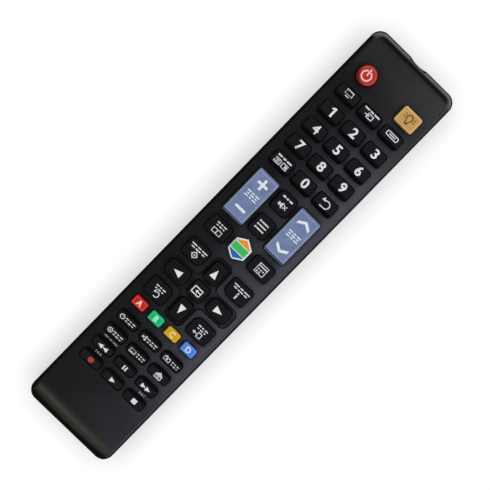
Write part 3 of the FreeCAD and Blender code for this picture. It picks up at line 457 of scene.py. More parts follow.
@dataclass(frozen=True)
class KeyRubber(Finish):
    """Smooth key cap, its shine a little uneven in patches."""

    colour: Colour
    roughness: float = 0.42
    specular: float = 0.30
    mottle: float = 0.12
    # rim: the strength of a painted highlight, a paler ring just inside the edge of the cap.
    rim: float = 0.0
    # lean: how far the plan moves right and headward, leaving painted shade on the cap's left and foot sides.
    lean: float = 0.35 * MM
    cap: Optional[Cap] = None
    grain: float = 0.30 * MM
    grain_depth: float = 0.004 * MM
    patch: float = 2.6 * MM
    patch_detail: float = 3.0
    patch_shine: float = 0.14
    mottle_range: Span = (0.3, 0.7)
    # The limits of the painted highlight ring, and how near white it goes.
    rim_outside: Span = span(0.25, 0.50)
    rim_inside: Span = span(0.70, 1.05)
    rim_white: float = 0.30
    # side and its share and tone: painted shade on the left and foot sides of the cap.
    side: Span = span(-0.15, 0.25)
    side_share: float = 0.85
    side_tone: float = 0.18
    # Painted shade: a darker matt surface mixed in on the raised high edge of a sloped cap, between these
    # heights, with its share and tone.
    tall: Optional[Span] = None
    tall_share: float = 0.85
    tall_tone: float = 0.5

    def wire(self, shader: Shader, place: Signal) -> Sockets:
        """Mottle the colour, with a painted highlight on the rim and painted shade on the far side where the
        plan is known, and painted shade on a sloped cap's raised edge.
        """
        grain = shader.noise(place, self.grain)
        patches = shader.noise(place, self.patch, self.patch_detail)
        darker = tuple(channel * (1.0 - self.mottle) for channel in self.colour)
        lighter = tuple(min(1.0, channel * (1.0 + self.mottle)) for channel in self.colour)
        colour = shader.blend(shader.ease(patches, *self.mottle_range), darker, lighter)
        if self.cap is not None:
            across, along, _ = shader.axes(place)
            depth = self.cap.depth(across, along, 0.0)
            # Painted highlight: a paler ring just inside the edge.
            rim = shader.ease(depth, *self.rim_outside) * (1.0 - shader.ease(depth, *self.rim_inside))
            pale = tuple(self.rim_white + (1.0 - self.rim_white) * channel for channel in self.colour)
            # Painted shade on the left and foot sides, where the moved plan no longer covers.
            dark = tuple(self.side_tone * channel for channel in self.colour)
            side = 1.0 - shader.ease(self.cap.depth(across, along, self.lean), *self.side)
            colour = shader.blend(side * self.side_share, shader.blend(rim * self.rim, colour, pale), dark)
        # Painted shade on the raised high edge.
        if self.tall is not None:
            high = shader.ease(shader.axes(place)[2], *self.tall)
            shader.dull(high * self.tall_share, tuple(self.tall_tone * channel for channel in self.colour))
        return {
            "Base Color": colour,
            "Roughness": self.roughness + (patches - HALF) * self.patch_shine,
            "Specular IOR Level": self.specular,
            "Normal": shader.relief(grain, self.grain_depth),
        }


@dataclass(frozen=True)
class CloudedFinish(Finish):
    """A finish whose tone, shine and relief follow one cloudy pattern.

    Roughness and matt hold a base and how far the pattern raises it.
    """

    colour: Colour
    other: Colour
    grain: float
    detail: float
    roughness: Span
    other_range: Optional[Span] = None
    specular: float = 0.5
    matt: Optional[Span] = None
    depth: float = 0.0
    pits: float = 0.0

    def wire(self, shader: Shader, place: Signal) -> Sockets:
        """Cloud the colour, and press the pattern or finer pits into the surface."""
        cloud = shader.noise(place, self.grain, self.detail)
        if self.matt:
            shader.dull(self.matt[0] + cloud * self.matt[1], self.colour)
        share = shader.ease(cloud, *self.other_range) if self.other_range else cloud
        sockets = {
            "Base Color": shader.blend(share, self.colour, self.other),
            "Roughness": self.roughness[0] + cloud * self.roughness[1],
            "Specular IOR Level": self.specular,
        }
        if self.depth:
            height = shader.noise(place, self.pits) if self.pits else cloud
            sockets["Normal"] = shader.relief(height, self.depth)
        return sockets


@dataclass(frozen=True)
class PrintedInk(CloudedFinish):
    """Screen printed ink, slightly uneven where it lies on the grain of the key."""

    grain: float = 0.16 * MM
    detail: float = 2.0
    roughness: Span = (0.40, 0.20)
    other_range: Optional[Span] = (0.56, 0.80)
    specular: float = 0.3
    depth: float = 0.004 * MM


TINTED_WINDOW = CloudedFinish("tinted_window", (0.010, 0.004, 0.008), (0.030, 0.010, 0.020), 3.0 * MM, 2.0,
                              (0.24, 0.12), specular=0.3, matt=(0.55, 0.40))
SILICONE_SHEET = CloudedFinish("silicone_sheet", (0.20, 0.205, 0.21), (0.27, 0.275, 0.28), 6.0 * MM, 4.0,
                               (0.72, 0.12), depth=0.01 * MM, pits=0.4 * MM)
COMPONENT_CASE = CloudedFinish("component_case", (0.020, 0.020, 0.022), (0.050, 0.050, 0.050), 0.25 * MM, 3.0,
                               (0.50, 0.20), (0.5, 0.9), depth=0.02 * MM)


@dataclass(frozen=True)
class SolderMask(Finish):
    """Green circuit board with copper tracks under its lacquer."""

    name: str = "board_lacquer"
    lacquer: Colour = (0.010, 0.105, 0.040)
    track: Colour = (0.030, 0.190, 0.070)
    bare: Colour = (0.62, 0.48, 0.22)
    pitch: float = 2.54 * MM
    scatter: float = 0.55
    track_edge: Span = (0.05, 0.11)
    track_height: float = 0.03 * MM
    roughness: tuple[float, float, float] = (0.32, 0.2, 0.1)
    pad_scale: float = 90.0
    pad_level: float = 0.62
    pad_width: float = 0.02
    pad_edge: Span = span(12.0, 13.0)

    def wire(self, shader: Shader, place: Signal) -> Sockets:
        """Run tracks over the board, and bare some copper near its sides."""
        cells = shader.add("ShaderNodeTexVoronoi", {"feature": "DISTANCE_TO_EDGE"},
                           {"Vector": place, "Scale": 1.0 / self.pitch, "Randomness": self.scatter})
        lines = 1.0 - shader.ease(cells, *self.track_edge)
        across, along, _ = shader.axes(place)
        wave = shader.noise(place, 1.0 / self.pad_scale, 1.0)
        pads = 1.0 - (abs(wave - self.pad_level) > self.pad_width)
        bare = pads * shader.ease(abs(across), *self.pad_edge)
        base, by_cell, by_length = self.roughness
        return {
            "Base Color": shader.blend(bare, shader.blend(lines, self.lacquer, self.track), self.bare),
            "Roughness": base + cells * by_cell + along * by_length,
            "Normal": shader.relief(lines, self.track_height),
        }


@dataclass(frozen=True)
class PlatedSteel(Finish):
    """Nickel plated sheet and wire, with fine drawing lines."""

    name: str = "plated_steel"
    colour: Colour = (0.66, 0.65, 0.61)
    worn: Colour = (0.47, 0.46, 0.43)
    line_scale: tuple[float, float, float] = (60.0, 9000.0, 9000.0)
    line_depth: float = 0.004 * MM
    patch: float = 2.5 * MM
    detail: float = 3.0
    roughness: Span = (0.22, 0.18)

    def wire(self, shader: Shader, place: Signal) -> Sockets:
        """Draw the lines and wear the plating in patches."""
        stretched = shader.add("ShaderNodeMapping", {}, {"Vector": place, "Scale": self.line_scale})
        lines = shader.noise(stretched, 1.0, self.detail)
        patches = shader.noise(place, self.patch, self.detail)
        return {
            "Base Color": shader.blend(patches, self.worn, self.colour),
            "Roughness": self.roughness[0] + lines * self.roughness[1],
            "Metallic": 1.0,
            "Normal": shader.relief(lines, self.line_depth),
        }


@dataclass(frozen=True)
class CellJacket(Finish):
    """Printed sleeve of a battery cell: dark blue, with a bright band at the button end."""

    button_end: float
    direction: float
    body: Colour = (0.018, 0.055, 0.200)
    band: Colour = (0.62, 0.60, 0.52)
    line: Colour = (0.80, 0.80, 0.78)
    band_length: float = 11.0 * MM
    band_edge: float = 0.05 * MM
    line_width: float = 0.7 * MM
    line_edge: float = 0.07 * MM
    scuff: float = 1.2 * MM
    scuff_detail: float = 4.0
    roughness: Span = (0.24, 0.16)
    metal: float = 0.8
    coat: float = 0.4

    def wire(self, shader: Shader, place: Signal) -> Sockets:
        """Print the band and the line beside it, and scuff the sleeve."""
        _, along, _ = shader.axes(place)
        depth = (self.button_end - along) * self.direction
        scuffs = shader.noise(place, self.scuff, self.scuff_detail)
        in_band = 1.0 - shader.ease(depth, self.band_length, self.band_length + self.band_edge)
        off_line = abs(depth - self.band_length)
        on_line = 1.0 - shader.ease(off_line, self.line_width, self.line_width + self.line_edge)
        return {
            "Base Color": shader.blend(on_line, shader.blend(in_band, self.body, self.band), self.line),
            "Roughness": self.roughness[0] + scuffs * self.roughness[1],
            "Metallic": in_band * (1.0 - on_line) * self.metal,
            "Coat Weight": self.coat,
        }


@dataclass(frozen=True)
class ClearEpoxy(Finish):
    """Clear bluish epoxy of the emitters, with the bright leads at its foot."""

    name: str = "clear_epoxy"
    colour: Colour = (0.50, 0.58, 0.70)
    lead: Colour = (0.70, 0.69, 0.66)
    leads_before: float = 92.2 * MM
    haze: float = 1.0 * MM
    roughness: Span = (0.08, 0.12)

    def wire(self, shader: Shader, place: Signal) -> Sockets:
        """Turn the foot end to metal."""
        _, along, _ = shader.axes(place)
        metal = 1.0 - (along > self.leads_before)
        return {
            "Base Color": shader.blend(metal, self.colour, self.lead),
            "Metallic": metal,
            "Roughness": self.roughness[0] + shader.noise(place, self.haze) * self.roughness[1],
        }


class Ink(Enum):
    """The inks that the legends are printed in, each with the tone where it lies thin."""

    WHITE = PrintedInk("white_ink", (0.75, 0.75, 0.77), (0.58, 0.58, 0.61))
    SOFT_WHITE = PrintedInk("soft_white_ink", (0.60, 0.60, 0.62), (0.45, 0.45, 0.48))
    PALE_RED = PrintedInk("pale_red_ink", (0.86, 0.58, 0.56), (0.78, 0.40, 0.36))
    BROWN = PrintedInk("brown_ink", (0.15, 0.060, 0.012), (0.24, 0.11, 0.025))
    SIGNAL_RED = PrintedInk("signal_red_ink", (0.40, 0.030, 0.022), (0.32, 0.020, 0.018))
    FACE_GREY = PrintedInk("face_grey_ink", (0.24, 0.24, 0.28), (0.16, 0.16, 0.19))
    RED_LETTER = PrintedInk("red_letter_ink", (0.90, 0.56, 0.50), (0.84, 0.42, 0.36))
    GREEN_LETTER = PrintedInk("green_letter_ink", (0.42, 0.82, 0.62), (0.28, 0.74, 0.50))
    YELLOW_LETTER = PrintedInk("yellow_letter_ink", (0.92, 0.72, 0.36), (0.88, 0.62, 0.22))
    BLUE_LETTER = PrintedInk("blue_letter_ink", (0.56, 0.70, 0.94), (0.42, 0.58, 0.90))
    INLAY_ORANGE = PrintedInk("orange_inlay", (0.76, 0.27, 0.012), (0.68, 0.22, 0.010))
    INLAY_GREEN = PrintedInk("green_inlay", (0.045, 0.46, 0.090), (0.035, 0.38, 0.070))
    INLAY_BLUE = PrintedInk("blue_inlay", (0.016, 0.110, 0.400), (0.014, 0.090, 0.330))


class Palette:
    """Every material of the object, each built once when it is first asked for."""

    def __init__(self) -> None:
        """Start with no material built."""
        self._built: dict[str, bpy.types.Material] = {}

    def get(self, finish: Finish) -> bpy.types.Material:
        """Give the material of a finish, building it if it is new.

        Args:
            finish: The finish.

        Returns:
            Its material.
        """
        if finish.name not in self._built:
            self._built[finish.name] = finish.build()
        return self._built[finish.name]

    def dress(self, thing: Piece, finish: Finish) -> None:
        """Give a whole object one finish."""
        thing.data.materials.clear()
        thing.data.materials.append(self.get(finish))


@contextmanager
def editing(thing: Piece, faces: Optional[Test] = None,
            points: Optional[Test] = None) -> Iterator[None]:
    """Edit one object, with all of it selected or only what passes a test of place and normal.

    Args:
        thing: The object.
        faces: A test of each face, to select only some faces.
        points: A test of each vertex, to select only some vertices.

    Yields:
        Nothing, once edit mode is on.
    """
    pick(thing)
    bpy.context.tool_settings.mesh_select_mode = (faces is None, False, faces is not None)
    bpy.ops.object.mode_set(mode="EDIT")
    bpy.ops.mesh.select_all(action="DESELECT" if faces or points else "SELECT")
    bpy.ops.object.mode_set(mode="OBJECT")
    for face in thing.data.polygons if faces else ():
        face.select = faces(face.center, face.normal)
    for vertex in thing.data.vertices if points else ():
        vertex.select = points(vertex.co, vertex.normal)
    bpy.ops.object.mode_set(mode="EDIT")
    yield
    bpy.ops.object.mode_set(mode="OBJECT")


def every(_centre: Vector, _normal: Vector) -> bool:
    """Let every face pass."""
    return True


def inset_in_steps(steps: tuple[Span, ...]) -> None:
    """Inset the selected faces again and again, each time by a width and a rise."""
    for width, rise in steps:
        bpy.ops.mesh.inset(thickness=width, depth=rise)


def pick(*things: Piece) -> None:
    """Select these objects only, and make the first one active.

    Args:
        *things: The objects.
    """
    bpy.ops.object.select_all(action="DESELECT")
    for thing in things:
        thing.select_set(True)
    bpy.context.view_layer.objects.active = things[0]


def apply_place(thing: Piece) -> None:
    """Move an object's place, turn and scale into its mesh."""
    pick(thing)
    bpy.ops.object.transform_apply(location=True, rotation=True, scale=True)


def apply_modifier(thing: Piece, kind: str, **settings: object) -> None:
    """Add a modifier and apply it.

    Args:
        thing: The object.
        kind: The modifier's type.
        **settings: The modifier's own settings.
    """
    modifier = thing.modifiers.new(kind.lower(), kind)
    for name, value in settings.items():
        setattr(modifier, name, value)
    pick(thing)
    bpy.ops.object.modifier_apply(modifier=modifier.name)


def join(things: list[Piece], name: str) -> Piece:
    """Join objects into one and name it.

    Args:
        things: The objects.
        name: The name.

    Returns:
        The joined object.
    """
    pick(*things)
    if len(things) > 1:
        bpy.ops.object.join()
    joined = bpy.context.view_layer.objects.active
    joined.name = name
    joined.data.name = name
    return joined


def set_down(thing: Piece, place: Sequence[float], turn: Sequence[float] = (0.0, 0.0, 0.0)) -> None:
    """Bring a piece that was drawn in millimetres to its place in metres.

    Args:
        thing: The piece.
        place: Where its origin goes, in metres.
        turn: Three angles in degrees.
    """
    thing.location = place
    thing.rotation_euler = [math.radians(angle) for angle in turn]
    thing.scale = (MM, MM, MM)
    apply_place(thing)


def copies(thing: Piece, count: int) -> list[Piece]:
    """Copy an object, each copy with a mesh of its own.

    Args:
        thing: The object.
        count: How many objects are wanted, with the first one.

    Returns:
        The object and its copies.
    """
    things = [thing]
    while len(things) < count:
        pick(thing)
        bpy.ops.object.duplicate()
        things.append(bpy.context.object)
    return things


def smooth(thing: Piece, angle: float = 35.0) -> None:
    """Shade a finished piece smooth, except over edges sharper than an angle in degrees."""
    pick(thing)
    bpy.ops.object.shade_smooth_by_angle(angle=math.radians(angle))


def reach_of(thing: Piece) -> tuple[Vector, Vector]:
    """Give the lowest and highest corner of an object's mesh.

    Args:
        thing: The object.

    Returns:
        The two corners.
    """
    places = [vertex.co for vertex in thing.data.vertices]
    low, high = (Vector(end(place[axis] for place in places) for axis in range(3)) for end in (min, max))
    return low, high


def stretched(shape: Piece, width: float, length: float) -> Piece:
    """Stretch a flat shape to a width and a length.

    Args:
        shape: The shape.
        width: Its new width.
        length: Its new length.

    Returns:
        The same shape.
    """
    apply_place(shape)
    reach = shape.dimensions.copy()
    shape.scale = (width / reach.x, length / reach.y, 1.0)
    apply_place(shape)
    return shape


def rectangle(width: float, length: float) -> Piece:
    """Draw a flat rectangle about the origin."""
    bpy.ops.mesh.primitive_plane_add(size=1.0)
    return stretched(bpy.context.object, width, length)


def polygon(sides: int, turn: float, width: float, length: float) -> Piece:
    """Draw a regular polygon turned by degrees about the origin, and stretch it.

    Args:
        sides: How many sides.
        turn: The turn in degrees.
        width: The width.
        length: The length.

    Returns:
        The flat shape.
    """
    bpy.ops.mesh.primitive_circle_add(vertices=sides, radius=1.0, fill_type="NGON",
                                      rotation=(0.0, 0.0, math.radians(turn)))
    return stretched(bpy.context.object, width, length)


def hollow(shape: Piece, stroke: float) -> Piece:
    """Turn one flat face into its outline of an even stroke.

    Args:
        shape: The flat shape.
        stroke: The width of the outline.

    Returns:
        The same shape.
    """
    with editing(shape, faces=every):
        bpy.ops.mesh.inset(thickness=stroke, depth=0.0)
        bpy.ops.mesh.delete(type="FACE")
    return shape


@dataclass(frozen=True)
class Stroke:
    """One flat shape of a legend, placed from the middle of its key in millimetres."""

    x: float
    y: float

    def draw(self) -> Piece:
        """Draw the shape and give its object."""
        raise NotImplementedError

    def settle(self, shape: Piece, turn: float = 0.0) -> Piece:
        """Turn a shape drawn about the origin by degrees, and move it to its place.

        Args:
            shape: The shape.
            turn: The turn in degrees.

        Returns:
            The same shape.
        """
        shape.rotation_euler.z = math.radians(turn)
        shape.location = (self.x, self.y, 0.0)
        apply_place(shape)
        return shape


@dataclass(frozen=True)
class Bar(Stroke):
    """A straight bar with slightly soft corners."""

    width: float
    height: float
    turn: float = 0.0
    soft: float = 0.12

    def draw(self) -> Piece:
        """Draw the bar and give its object."""
        bar = rectangle(self.width, self.height)
        with editing(bar):
            offset = min(self.soft, 0.45 * min(self.width, self.height))
            bpy.ops.mesh.bevel(offset=offset, segments=2, affect="VERTICES")
        return self.settle(bar, self.turn)


@dataclass(frozen=True)
class Outline(Stroke):
    """The outline of a bar, of an even stroke."""

    width: float
    height: float
    stroke: float = 0.42
    soft: float = 0.12

    def draw(self) -> Piece:
        """Draw the outline and give its object."""
        return hollow(Bar(self.x, self.y, self.width, self.height, 0.0, self.soft).draw(), self.stroke)


@dataclass(frozen=True)
class Disc(Stroke):
    """A round dot."""

    radius: float
    sides: int = 40

    def draw(self) -> Piece:
        """Draw the dot and give its object."""
        bpy.ops.mesh.primitive_circle_add(vertices=self.sides, radius=self.radius, fill_type="NGON")
        return self.settle(bpy.context.object)


@dataclass(frozen=True)
class Ring(Stroke):
    """A round ring of an even stroke, or an arc of it where a sweep is given in degrees."""

    radius: float
    stroke: float = 0.42
    start: float = 0.0
    sweep: float = 360.0

    def draw(self) -> Piece:
        """Draw the ring and give its object."""
        ring = hollow(Disc(self.x, self.y, self.radius).draw(), self.stroke)

        def outside(centre: Vector, _: Vector) -> bool:
            """Tell whether a face lies outside the arc."""
            angle = math.degrees(math.atan2(centre.y - self.y, centre.x - self.x))
            return (angle - self.start) % 360.0 > self.sweep

        if self.sweep < 360.0:
            with editing(ring, faces=outside):
                bpy.ops.mesh.delete(type="FACE")
        return ring


@dataclass(frozen=True)
class Triangle(Stroke):
    """A triangle that points to the right, or along a turn from there in degrees."""

    length: float
    breadth: float
    turn: float = 0.0

    def draw(self) -> Piece:
        """Draw the triangle and give its object."""
        triangle = polygon(3, -90.0, self.length, self.breadth)
        triangle.location.x = -self.length / 6.0
        apply_place(triangle)
        return self.settle(triangle, self.turn)


@dataclass(frozen=True)
class Chevron(Stroke):
    """A bar whose middle rises above its ends."""

    width: float
    rise: float
    stroke: float

    def draw(self) -> Piece:
        """Draw the chevron and give its object."""
        chevron = rectangle(self.width, self.stroke)
        with editing(chevron):
            bpy.ops.mesh.subdivide(number_cuts=1)
        with editing(chevron, points=lambda place, _: abs(place.x) < 0.25 * self.width):
            bpy.ops.transform.translate(value=(0.0, self.rise, 0.0))
        chevron.location.y = -self.rise / 2.0
        apply_place(chevron)
        return self.settle(chevron)


@dataclass(frozen=True)
class Letters(Stroke):
    """A numeral or a single letter of a given height, with its strokes made heavier."""

    text: str
    height: float
    heavy: float

    def draw(self) -> Piece:
        """Draw the character and give its object."""
        bpy.ops.object.text_add()
        letter = bpy.context.object
        letter.data.body = self.text
        letter.data.size = self.height
        letter.data.offset = self.heavy * self.height
        letter.data.resolution_u = 5
        pick(letter)
        bpy.ops.object.convert(target="MESH")
        letter = bpy.context.object
        low, high = reach_of(letter)
        scale = self.height / (high.y - low.y)
        letter.location = tuple(-scale * (low[axis] + high[axis]) / 2.0 for axis in range(3))
        letter.scale = (scale, scale, scale)
        apply_place(letter)
        with editing(letter):
            bpy.ops.mesh.remove_doubles(threshold=HALF * MERGED)
        return self.settle(letter)


def dashes(x: float, y: float, width: float, rows: int = 2, height: float = 0.52,
           pitch: float = 1.12) -> tuple[Bar, ...]:
    """Set plain dashes where a caption would stand.

    Args:
        x: The middle of the rows.
        y: The middle of the rows.
        width: The length of the longest row.
        rows: How many rows.
        height: The height of one dash.
        pitch: The distance from row to row.

    Returns:
        The dashes.
    """
    bars = []
    for row in range(rows):
        shares = CAPTION_SHARES[row % 2]
        gaps = CAPTION_GAP * (len(shares) - 1)
        room = width * CAPTION_LENGTHS[row % 2] - gaps
        start = x - (room + gaps) / 2.0
        for share in shares:
            length = room * share
            row_y = y + (0.5 * (rows - 1) - row) * pitch
            bars.append(Bar(start + length / 2.0, row_y, length, height, 0.0, 0.2))
            start += length + CAPTION_GAP
    return tuple(bars)


@dataclass(frozen=True)
class Legend:
    """What is printed on one key or beside it: its strokes and its ink."""

    strokes: tuple[Stroke, ...]
    ink: Ink
    height: float = 0.05
    sink: float = 0.012

    def print_on(self, name: str, node: str, x: float, y: float, palette: Palette) -> Piece:
        """Draw the legend and lay it on a node's top, along the slope that it meets there.

        Args:
            name: The name of the new piece.
            node: The node that it is printed on.
            x: Where the middle of the legend is, in metres.
            y: Where the middle of the legend is, in metres.
            palette: The materials.

        Returns:
            The printed piece.
        """
        piece = join([stroke.draw() for stroke in self.strokes], name)
        apply_modifier(piece, "SOLIDIFY", thickness=self.height, offset=1.0)
        start = Vector((x, y, CAD_BOX[1][2] + MM))
        met, place, normal, _ = frame["nodes"][node].ray_cast(start, Vector((0.0, 0.0, -1.0)))
        if not met:
            raise ValueError(f"nothing of {node} lies under its legend")
        tilt = [math.degrees(math.atan2(slope, normal.z)) for slope in (-normal.y, normal.x)]
        set_down(piece, place - normal * self.sink * MM, (*tilt, 0.0))
        palette.dress(piece, self.ink.value)
        log.info("printed %s", name)
        return piece


def legends() -> dict[str, Legend]:
    """Give the legend of every key that has one plain ink, by the key's node.

    Returns:
        The legends.
    """
    white, soft = Ink.WHITE, Ink.SOFT_WHITE
    table = {str(digit): (white, Letters(0.35, 0.5, str(digit), 4.4, 0.03)) for digit in range(10)}
    table["1"] = (white, Bar(0.65, 0.5, 0.92, 4.4), Bar(-0.2, 1.95, 1.3, 0.7, 40.0))
    table["4"] = (white, Letters(0.35, 0.5, "4", 4.4, 0.008))
    for key, letter in (("red", "A"), ("green", "B"), ("yellow", "C"), ("blue", "D")):
        table[key] = (Ink[f"{key.upper()}_LETTER"], Letters(0.0, 0.0, letter, 2.6, 0.05))
    for key, turn in (("up", 90.0), ("down", -90.0), ("left", 180.0), ("right", 0.0)):
        table[key] = (white, Triangle(0.0, -0.2, 3.8, 2.9, turn))
    table |= {
        "power": (Ink.PALE_RED, Ring(-0.1, -0.2, 2.3, 0.58, 109.0, 322.0), Bar(-0.1, 1.40, 0.58, 3.0)),
        "light": (
            Ink.BROWN, Ring(0.1, 0.75, 1.6, 0.55, -54.0, 288.0), Bar(-0.50, -0.85, 0.5, 0.9),
            Bar(0.70, -0.85, 0.5, 0.9), Bar(0.1, -1.6, 1.6, 0.85), Bar(-2.15, 1.6, 0.8, 0.42, -25.0),
            Bar(2.35, 1.6, 0.8, 0.42, 25.0), Bar(-2.25, 0.4, 0.75, 0.42), Bar(2.45, 0.4, 0.75, 0.42)),
        "tv": (soft, Outline(0.0, 0.95, 3.9, 2.4, 0.45), Bar(0.0, -0.75, 1.9, 0.42)),
        "source": (
            soft, *dashes(0.0, 1.9, 7.6, 1, 0.7), Outline(0.35, -0.2, 3.0, 2.3),
            Bar(-1.75, -0.2, 1.0, 0.42), Triangle(-0.35, -0.2, 1.0, 1.2)),
        "input": (soft, Outline(0.2, 0.7, 6.0, 2.3, 0.45, 0.7), Bar(0.2, 0.7, 3.4, 0.5)),
        "text": (
            soft, *dashes(0.0, 1.75, 7.0, 1, 0.75), Outline(-1.85, -0.65, 3.2, 2.4, 0.4),
            Bar(-1.85, -0.3, 1.6, 0.36), Bar(-1.85, -0.98, 1.6, 0.36),
            Outline(1.85, -0.65, 3.2, 2.4, 0.4), Bar(2.3, -0.65, 1.2, 1.1)),
        "previous": (
            soft, Ring(0.35, 0.1, 1.9, 0.5, -90.0, 225.0), Triangle(-1.75, 1.35, 1.5, 1.9, 215.0),
            Bar(-0.75, -1.54, 1.9, 0.5)),
        "mute": (
            soft, *dashes(0.0, 2.35, 5.0, 1, 0.75), Bar(-1.55, -0.95, 0.9, 1.3),
            Triangle(-0.62, -0.95, 1.6, 2.9, 180.0), Bar(1.35, -0.95, 2.2, 0.4, 45.0),
            Bar(0.86, -0.46, 0.85, 0.4, -45.0), Bar(1.84, -1.44, 0.85, 0.4, -45.0)),
        "channel_list": (soft, *(stroke for row in (1.55, 0.0, -1.55)
                                 for stroke in (Disc(-1.95, row, 0.42), Bar(0.45, row, 3.6, 0.6)))),
        "menu": (
            soft, *dashes(0.25, 1.35, 4.8), Outline(0.25, -1.45, 4.6, 2.3), Bar(0.25, -1.45, 0.42, 1.46)),
        "guide": (
            soft, Outline(0.3, 0.0, 4.8, 4.6, 0.45), Bar(0.3, 1.05, 3.9, 0.5), Disc(-0.85, -0.25, 0.36),
            Disc(0.3, -0.25, 0.36), Disc(1.45, -0.25, 0.36), Disc(-0.85, -1.3, 0.36), Disc(0.3, -1.3, 0.36)),
        "tools": (
            soft, *dashes(0.3, 1.35, 8.0), Ring(0.4, -1.35, 1.25, 0.4), Bar(0.4, 0.05, 0.5, 0.4),
            Bar(0.4, -2.75, 0.5, 0.4), Bar(-1.0, -1.35, 0.4, 0.5), Bar(1.8, -1.35, 0.4, 0.5),
            Disc(0.4, -1.35, 0.35)),
        "info": (soft, *dashes(0.4, 1.35, 8.0), Disc(0.4, -0.4, 0.42), Bar(0.4, -1.95, 0.7, 1.8)),
        "return": (
            soft, *dashes(0.2, 0.95, 4.8), Ring(0.45, -1.65, 1.35, 0.42, -126.0, 243.0),
            Triangle(-0.85, -0.95, 1.2, 1.5, 215.0)),
        "exit": (
            soft, *dashes(0.2, 0.95, 4.8), Outline(0.75, -1.65, 2.2, 2.5), Bar(-1.1, -1.65, 1.0, 0.42),
            Triangle(-2.05, -1.65, 1.0, 1.5, 180.0)),
        "enter": (
            white, Outline(-0.35, -0.3, 4.4, 3.2, 0.45), Triangle(-0.6, -0.3, 1.2, 1.6, 180.0),
            Bar(0.85, -0.3, 1.4, 0.45)),
        "history": (
            soft, Ring(-2.75, -0.45, 1.15, 0.36), Bar(-2.75, -0.12, 0.3, 0.55),
            *dashes(1.2, -0.45, 4.9, 2, 0.5, 1.15)),
        "share": (
            soft, Disc(-3.3, -0.45, 0.5), Disc(-1.9, 0.2, 0.5), Disc(-1.9, -1.1, 0.5),
            Bar(-2.6, -0.12, 0.75, 0.26, 25.0), Bar(-2.6, -0.78, 0.75, 0.26, -25.0),
            *dashes(1.4, -0.45, 5.0, 2, 0.5, 1.15)),
        "camera": (
            soft, Outline(-2.0, -0.5, 3.2, 2.0, 0.36), Disc(-2.0, -0.5, 0.5), Bar(-2.6, 0.78, 0.9, 0.34),
            *dashes(2.15, -0.45, 3.8, 2, 0.5, 1.15)),
        "support": (
            soft, Ring(-2.6, -0.55, 1.15, 0.36), Disc(-2.6, -0.55, 0.36),
            *dashes(1.3, -0.55, 4.9, 2, 0.5, 1.15)),
        "subtitle": (
            soft, Outline(-2.1, -0.55, 3.0, 2.1, 0.36), Bar(-2.1, -0.95, 1.6, 0.34),
            *dashes(2.0, -0.55, 4.0, 2, 0.5, 1.15)),
        "social": (
            soft, Triangle(0.3, 0.55, 1.5, 3.7, 90.0), Outline(0.3, -1.15, 3.5, 1.9, 0.45),
            Bar(0.3, -1.15, 1.7, 0.4)),
        "rewind": (white, *(Triangle(x, -0.55, 2.35, 2.1, 180.0) for x in (-1.15, 1.25))),
        "forward": (white, *(Triangle(x, -0.55, 2.35, 2.1) for x in (-1.15, 1.25))),
        "pause": (white, *(Bar(x, -0.55, 0.68, 2.2) for x in (-0.2, 1.0))),
        "record": (Ink.SIGNAL_RED, Disc(0.2, -0.4, 1.28)),
        "play": (white, Triangle(0.3, -0.4, 2.35, 2.3)),
        "stop": (white, Bar(0.4, -0.4, 2.2, 2.2)),
        "volume": (
            white, Bar(0.3, 6.3, 1.1, 4.9), Bar(-1.2, 6.3, 1.9, 1.1), Bar(1.8, 6.3, 1.9, 1.1),
            *dashes(0.2, 0.3, 6.0, 3, 0.5, 1.05), Bar(0.3, -6.3, 5.0, 1.05)),
        "channel": (
            white, Chevron(0.3, 6.6, 6.0, 1.85, 1.3), *dashes(0.3, 0.3, 6.2, 3, 0.5, 1.05),
            Chevron(0.3, -6.6, 6.0, -1.85, 1.3)),
    }
    return {f"key_{key}": Legend(tuple(strokes), ink) for key, (ink, *strokes) in table.items()}


